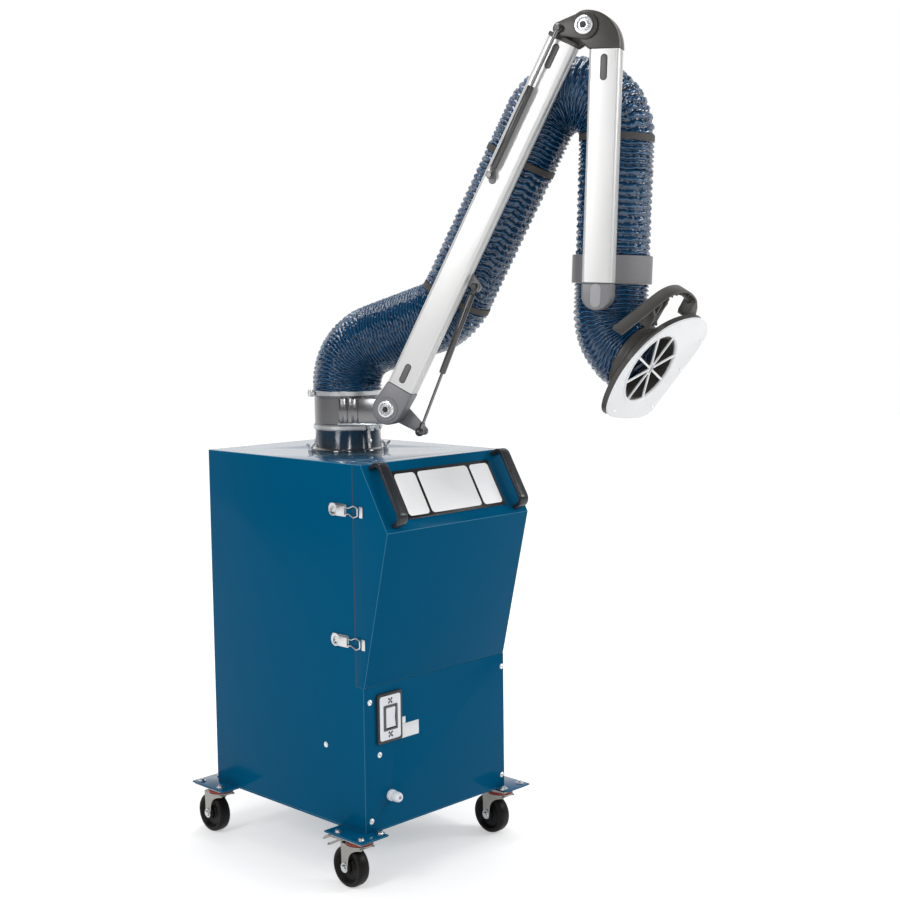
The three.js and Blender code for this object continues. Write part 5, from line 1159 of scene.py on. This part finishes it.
# Hood: a dark moulded back with a neck for the hose, a white plate over its front with a round
# spoked grille, and a flat strap handle round the top. It tilts on a pin in the stem's eye.
TILT_PIN = -132.0
NECK_REACH = 74.7
HOOD_REACH = 127.0
GIMBAL_TURN = math.radians(-16.0)
HOOD_TILT = math.radians(30.0)
gimbal_place = ring_place @ shift(0.0, 0.0, RING_FOOT) @ spin(GIMBAL_TURN, "Z")
hood_turn = HOOD_TILT - UPPER_TILT
hood_place = gimbal_place @ shift(0.0, 0.0, TILT_PIN) @ spin(hood_turn, "Y") @ shift(HOOD_REACH, 0.0, 0.0)
hood_axis = hood_place @ spin(QUARTER, "Y")
coated(zinc, "hood_stem")
neck_end = Vector((0.0, TILT_PIN)) + NECK_REACH * Vector((math.cos(-hood_turn), math.sin(-hood_turn)))
hood_route = rounded_route([(0.0, -0.3), (0.0, TILT_PIN), neck_end], [116.0], BEND_STEPS)
hose_hood = hose_piece("hood", hood_route, gimbal_place, 10.0, 6.0, 3.0, None, 5.0)
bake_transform(hose_hood)
face_edge = [(-119.0, -45.0)]
for first, second, end in (((-125.0, 30.0), (-60.0, 118.0), (70.0, 130.0)),
                           ((125.0, 135.0), (168.0, 122.0), (183.0, 92.0)),
                           ((190.0, 75.0), (180.0, 40.0), (160.0, -3.0)),
                           ((144.0, -40.0), (128.0, -76.0), (113.0, -112.0)),
                           ((102.0, -134.0), (80.0, -138.0), (50.0, -136.0)),
                           ((0.0, -135.0), (-50.0, -133.0), (-84.0, -118.0)),
                           ((-108.0, -106.0), (-117.0, -80.0), (-119.0, -45.0))):
    face_edge += bezier(face_edge[-1], first, second, end, 16)
face_edge.pop()
neck = lathe([(DUCT_BORE, -52.0), (83.0, -52.0), (84.2, -50.5), (84.2, -40.0), (83.0, -38.0), (83.0, -32.0),
              (92.0, -28.0), (108.0, -16.0), (108.0, -5.0), (DUCT_BORE, -5.0)], 96)
fitted("hood_neck", neck, hood_axis, dark_plastic, "hood")
plate_white = finish("white_hood_plate", (0.86, 0.875, 0.89), vary=0.03, patch=9.0,
                     rough=(0.32, 0.42), grain=900.0, depth=1.5e-5, specular=0.25)


def edge_reach(turn):
    """How far the face's edge is from its middle in this direction."""
    ray = Vector((math.cos(turn), math.sin(turn)))
    best = 0.0
    for a, b in zip(face_edge, face_edge[1:] + face_edge[:1]):
        side = Vector(b) - Vector(a)
        cross = ray.x * side.y - ray.y * side.x
        if abs(cross) > 1e-9:
            along = (a[0] * side.y - a[1] * side.x) / cross
            share = (a[0] * ray.y - a[1] * ray.x) / cross
            if along > 0.0 and -1e-6 <= share <= 1.0 + 1e-6:
                best = max(best, along)
    return best


FACE_STEPS = 160
GRILLE_RADIUS = 88.0
turns = [2.0 * math.pi * k / FACE_STEPS for k in range(FACE_STEPS)]
outer_edge, inner_edge, duct_edge = ([(reach(t) * math.cos(t), reach(t) * math.sin(t)) for t in turns]
                                     for reach in (edge_reach, lambda t: GRILLE_RADIUS, lambda t: DUCT_BORE))
fitted("hood_back_rim", framed(outer_edge, duct_edge, "X", -17.3, -4.3, 2.2), hood_place, dark_plastic,
       "hood", "hood_shell")
fitted("hood_face_plate", framed(outer_edge, inner_edge, "X", -4.0, 0.0, 1.2), hood_place, plate_white,
       "hood", "hood_face")
lip = lathe([(85.0, -6.0), (91.5, -1.0), (91.5, 1.4), (89.6, 2.4), (86.8, 1.6), (85.0, -1.0)], 96)
fitted("grille_lip", lip, hood_axis, plate_white, "hood")


def spoke_tree():
    """Copies of one spoke, turned evenly about the X axis."""
    tree, given = tree_of("spoke_ring", {"Count": 8, "Start": 0.0})
    points = node_in(tree, "GeometryNodeMeshLine", {"Count": given["Count"], "Offset": (0.0, 0.0, 0.0)})
    index = tree.nodes.new("GeometryNodeInputIndex").outputs[0]
    share = math_in(tree, "DIVIDE", index, given["Count"])
    angle = math_in(tree, "MULTIPLY_ADD", share, 2.0 * math.pi, given["Start"])
    about = node_in(tree, "ShaderNodeCombineXYZ", {"X": angle})
    turn = node_in(tree, "FunctionNodeEulerToRotation", {0: about.outputs[0]})
    spread = node_in(tree, "GeometryNodeInstanceOnPoints", {"Points": points.outputs[0],
                                                            "Instance": given["Geometry"],
                                                            "Rotation": turn.outputs[0]})
    return tree_ended(tree, given, spread.outputs[0])


spoke = prism([(11.0, -2.3), (88.5, -2.8), (88.5, 2.8), (11.0, 2.3)], "X", -3.4, 0.6, 0.7)
spokes = grown(spoke, spoke_tree(), {"Count": 8, "Start": math.radians(22.5), "Finish": plate_white})
fitted("grille_spokes", spokes, hood_place, plate_white, "hood")
hub = framed(rounded(-8.0, 8.0, -15.0, 15.0, 8.0, 8), rounded(-4.5, 4.5, -11.5, 11.5, 4.5, 8), "X",
             -4.2, 0.4, 0.6)
fitted("grille_hub", hub, hood_place, plate_white, "hood")


def smooth_route(points, steps=10):
    """A flat Catmull-Rom curve through points."""
    spots = [Vector(point) for point in points]
    spots = [2.0 * spots[0] - spots[1]] + spots + [2.0 * spots[-1] - spots[-2]]
    route = []
    for i in range(1, len(spots) - 2):
        a, b, c, d = spots[i - 1:i + 3]
        for k in range(steps):
            t = k / steps
            route.append(0.5 * (2.0 * b + (c - a) * t + (2.0 * a - 5.0 * b + 4.0 * c - d) * t * t
                                + (3.0 * b - a - 3.0 * c + d) * t ** 3))
    return route + [spots[-2]]


GRIP_BACK = -48.3
GRIP_FRONT = -18.3
GRIP_ROOT = -17.6
RIB_COUNT = 9
hood_grip = hood_place, dark_plastic, "hood"
strap_route = smooth_route([(-168.0, 82.0), (-100.0, 134.0), (-40.0, 178.0), (20.0, 190.0), (80.0, 172.0),
                            (112.0, 146.0)])
strap = prism(band_outline(strap_route, 5.0), "X", GRIP_BACK, GRIP_FRONT, 1.6)
fitted("hood_grip_strap", strap, *hood_grip, "hood_handle")
grip_foot = [(84.0, 168.0), (112.0, 146.0), (126.0, 120.0), (88.0, 120.0), (82.0, 130.0)]
fitted("hood_grip_foot", prism(grip_foot, "X", GRIP_BACK, GRIP_ROOT, 1.5), *hood_grip)
strut_bars = [((-84.0, 143.0), (-40.0, 106.0)), ((-62.0, 158.0), (-66.0, 98.0)),
              ((-42.0, 170.0), (-50.0, 104.0)), ((-66.0, 100.0), (-40.0, 160.0))]
for number, (top, foot) in enumerate(strut_bars):
    bar = prism(strap_outline(top, 3.0, foot, 3.001, 8), "X", GRIP_BACK + 3.0, GRIP_ROOT, 0.8)
    fitted(f"hood_grip_strut_{number + 1}", bar, *hood_grip)
web_route = smooth_route([(-92.0, 131.0), (-37.0, 170.0), (20.0, 181.0), (76.0, 164.0), (103.0, 142.0)])
fitted("hood_grip_web", prism(band_outline(web_route, 12.0), "X", -37.0, -30.0, 1.0), *hood_grip)
for number in range(RIB_COUNT):
    spot, after = web_route[12 + 3 * number:14 + 3 * number]
    ahead = (after - spot).normalized()
    inward = Vector((ahead.y, -ahead.x))
    rib = [tuple(spot + inward * depth + ahead * side)
           for depth, side in ((-8.0, -1.2), (1.0, -1.2), (1.0, 1.2), (-8.0, 1.2))]
    fitted(f"hood_grip_rib_{number + 1}", prism(rib, "X", GRIP_BACK + 2.0, GRIP_FRONT - 2.0, 0.4), *hood_grip)
face_screws = [(0.0, 172.0, 70.0), (0.0, 144.0, -8.0), (0.0, 100.0, -108.0), (0.0, -70.0, -108.0)]
screwed("hood_face_screws", face_screws, "right", (3.0, 1.6, 18), hood_place, bright_zinc, "hood")
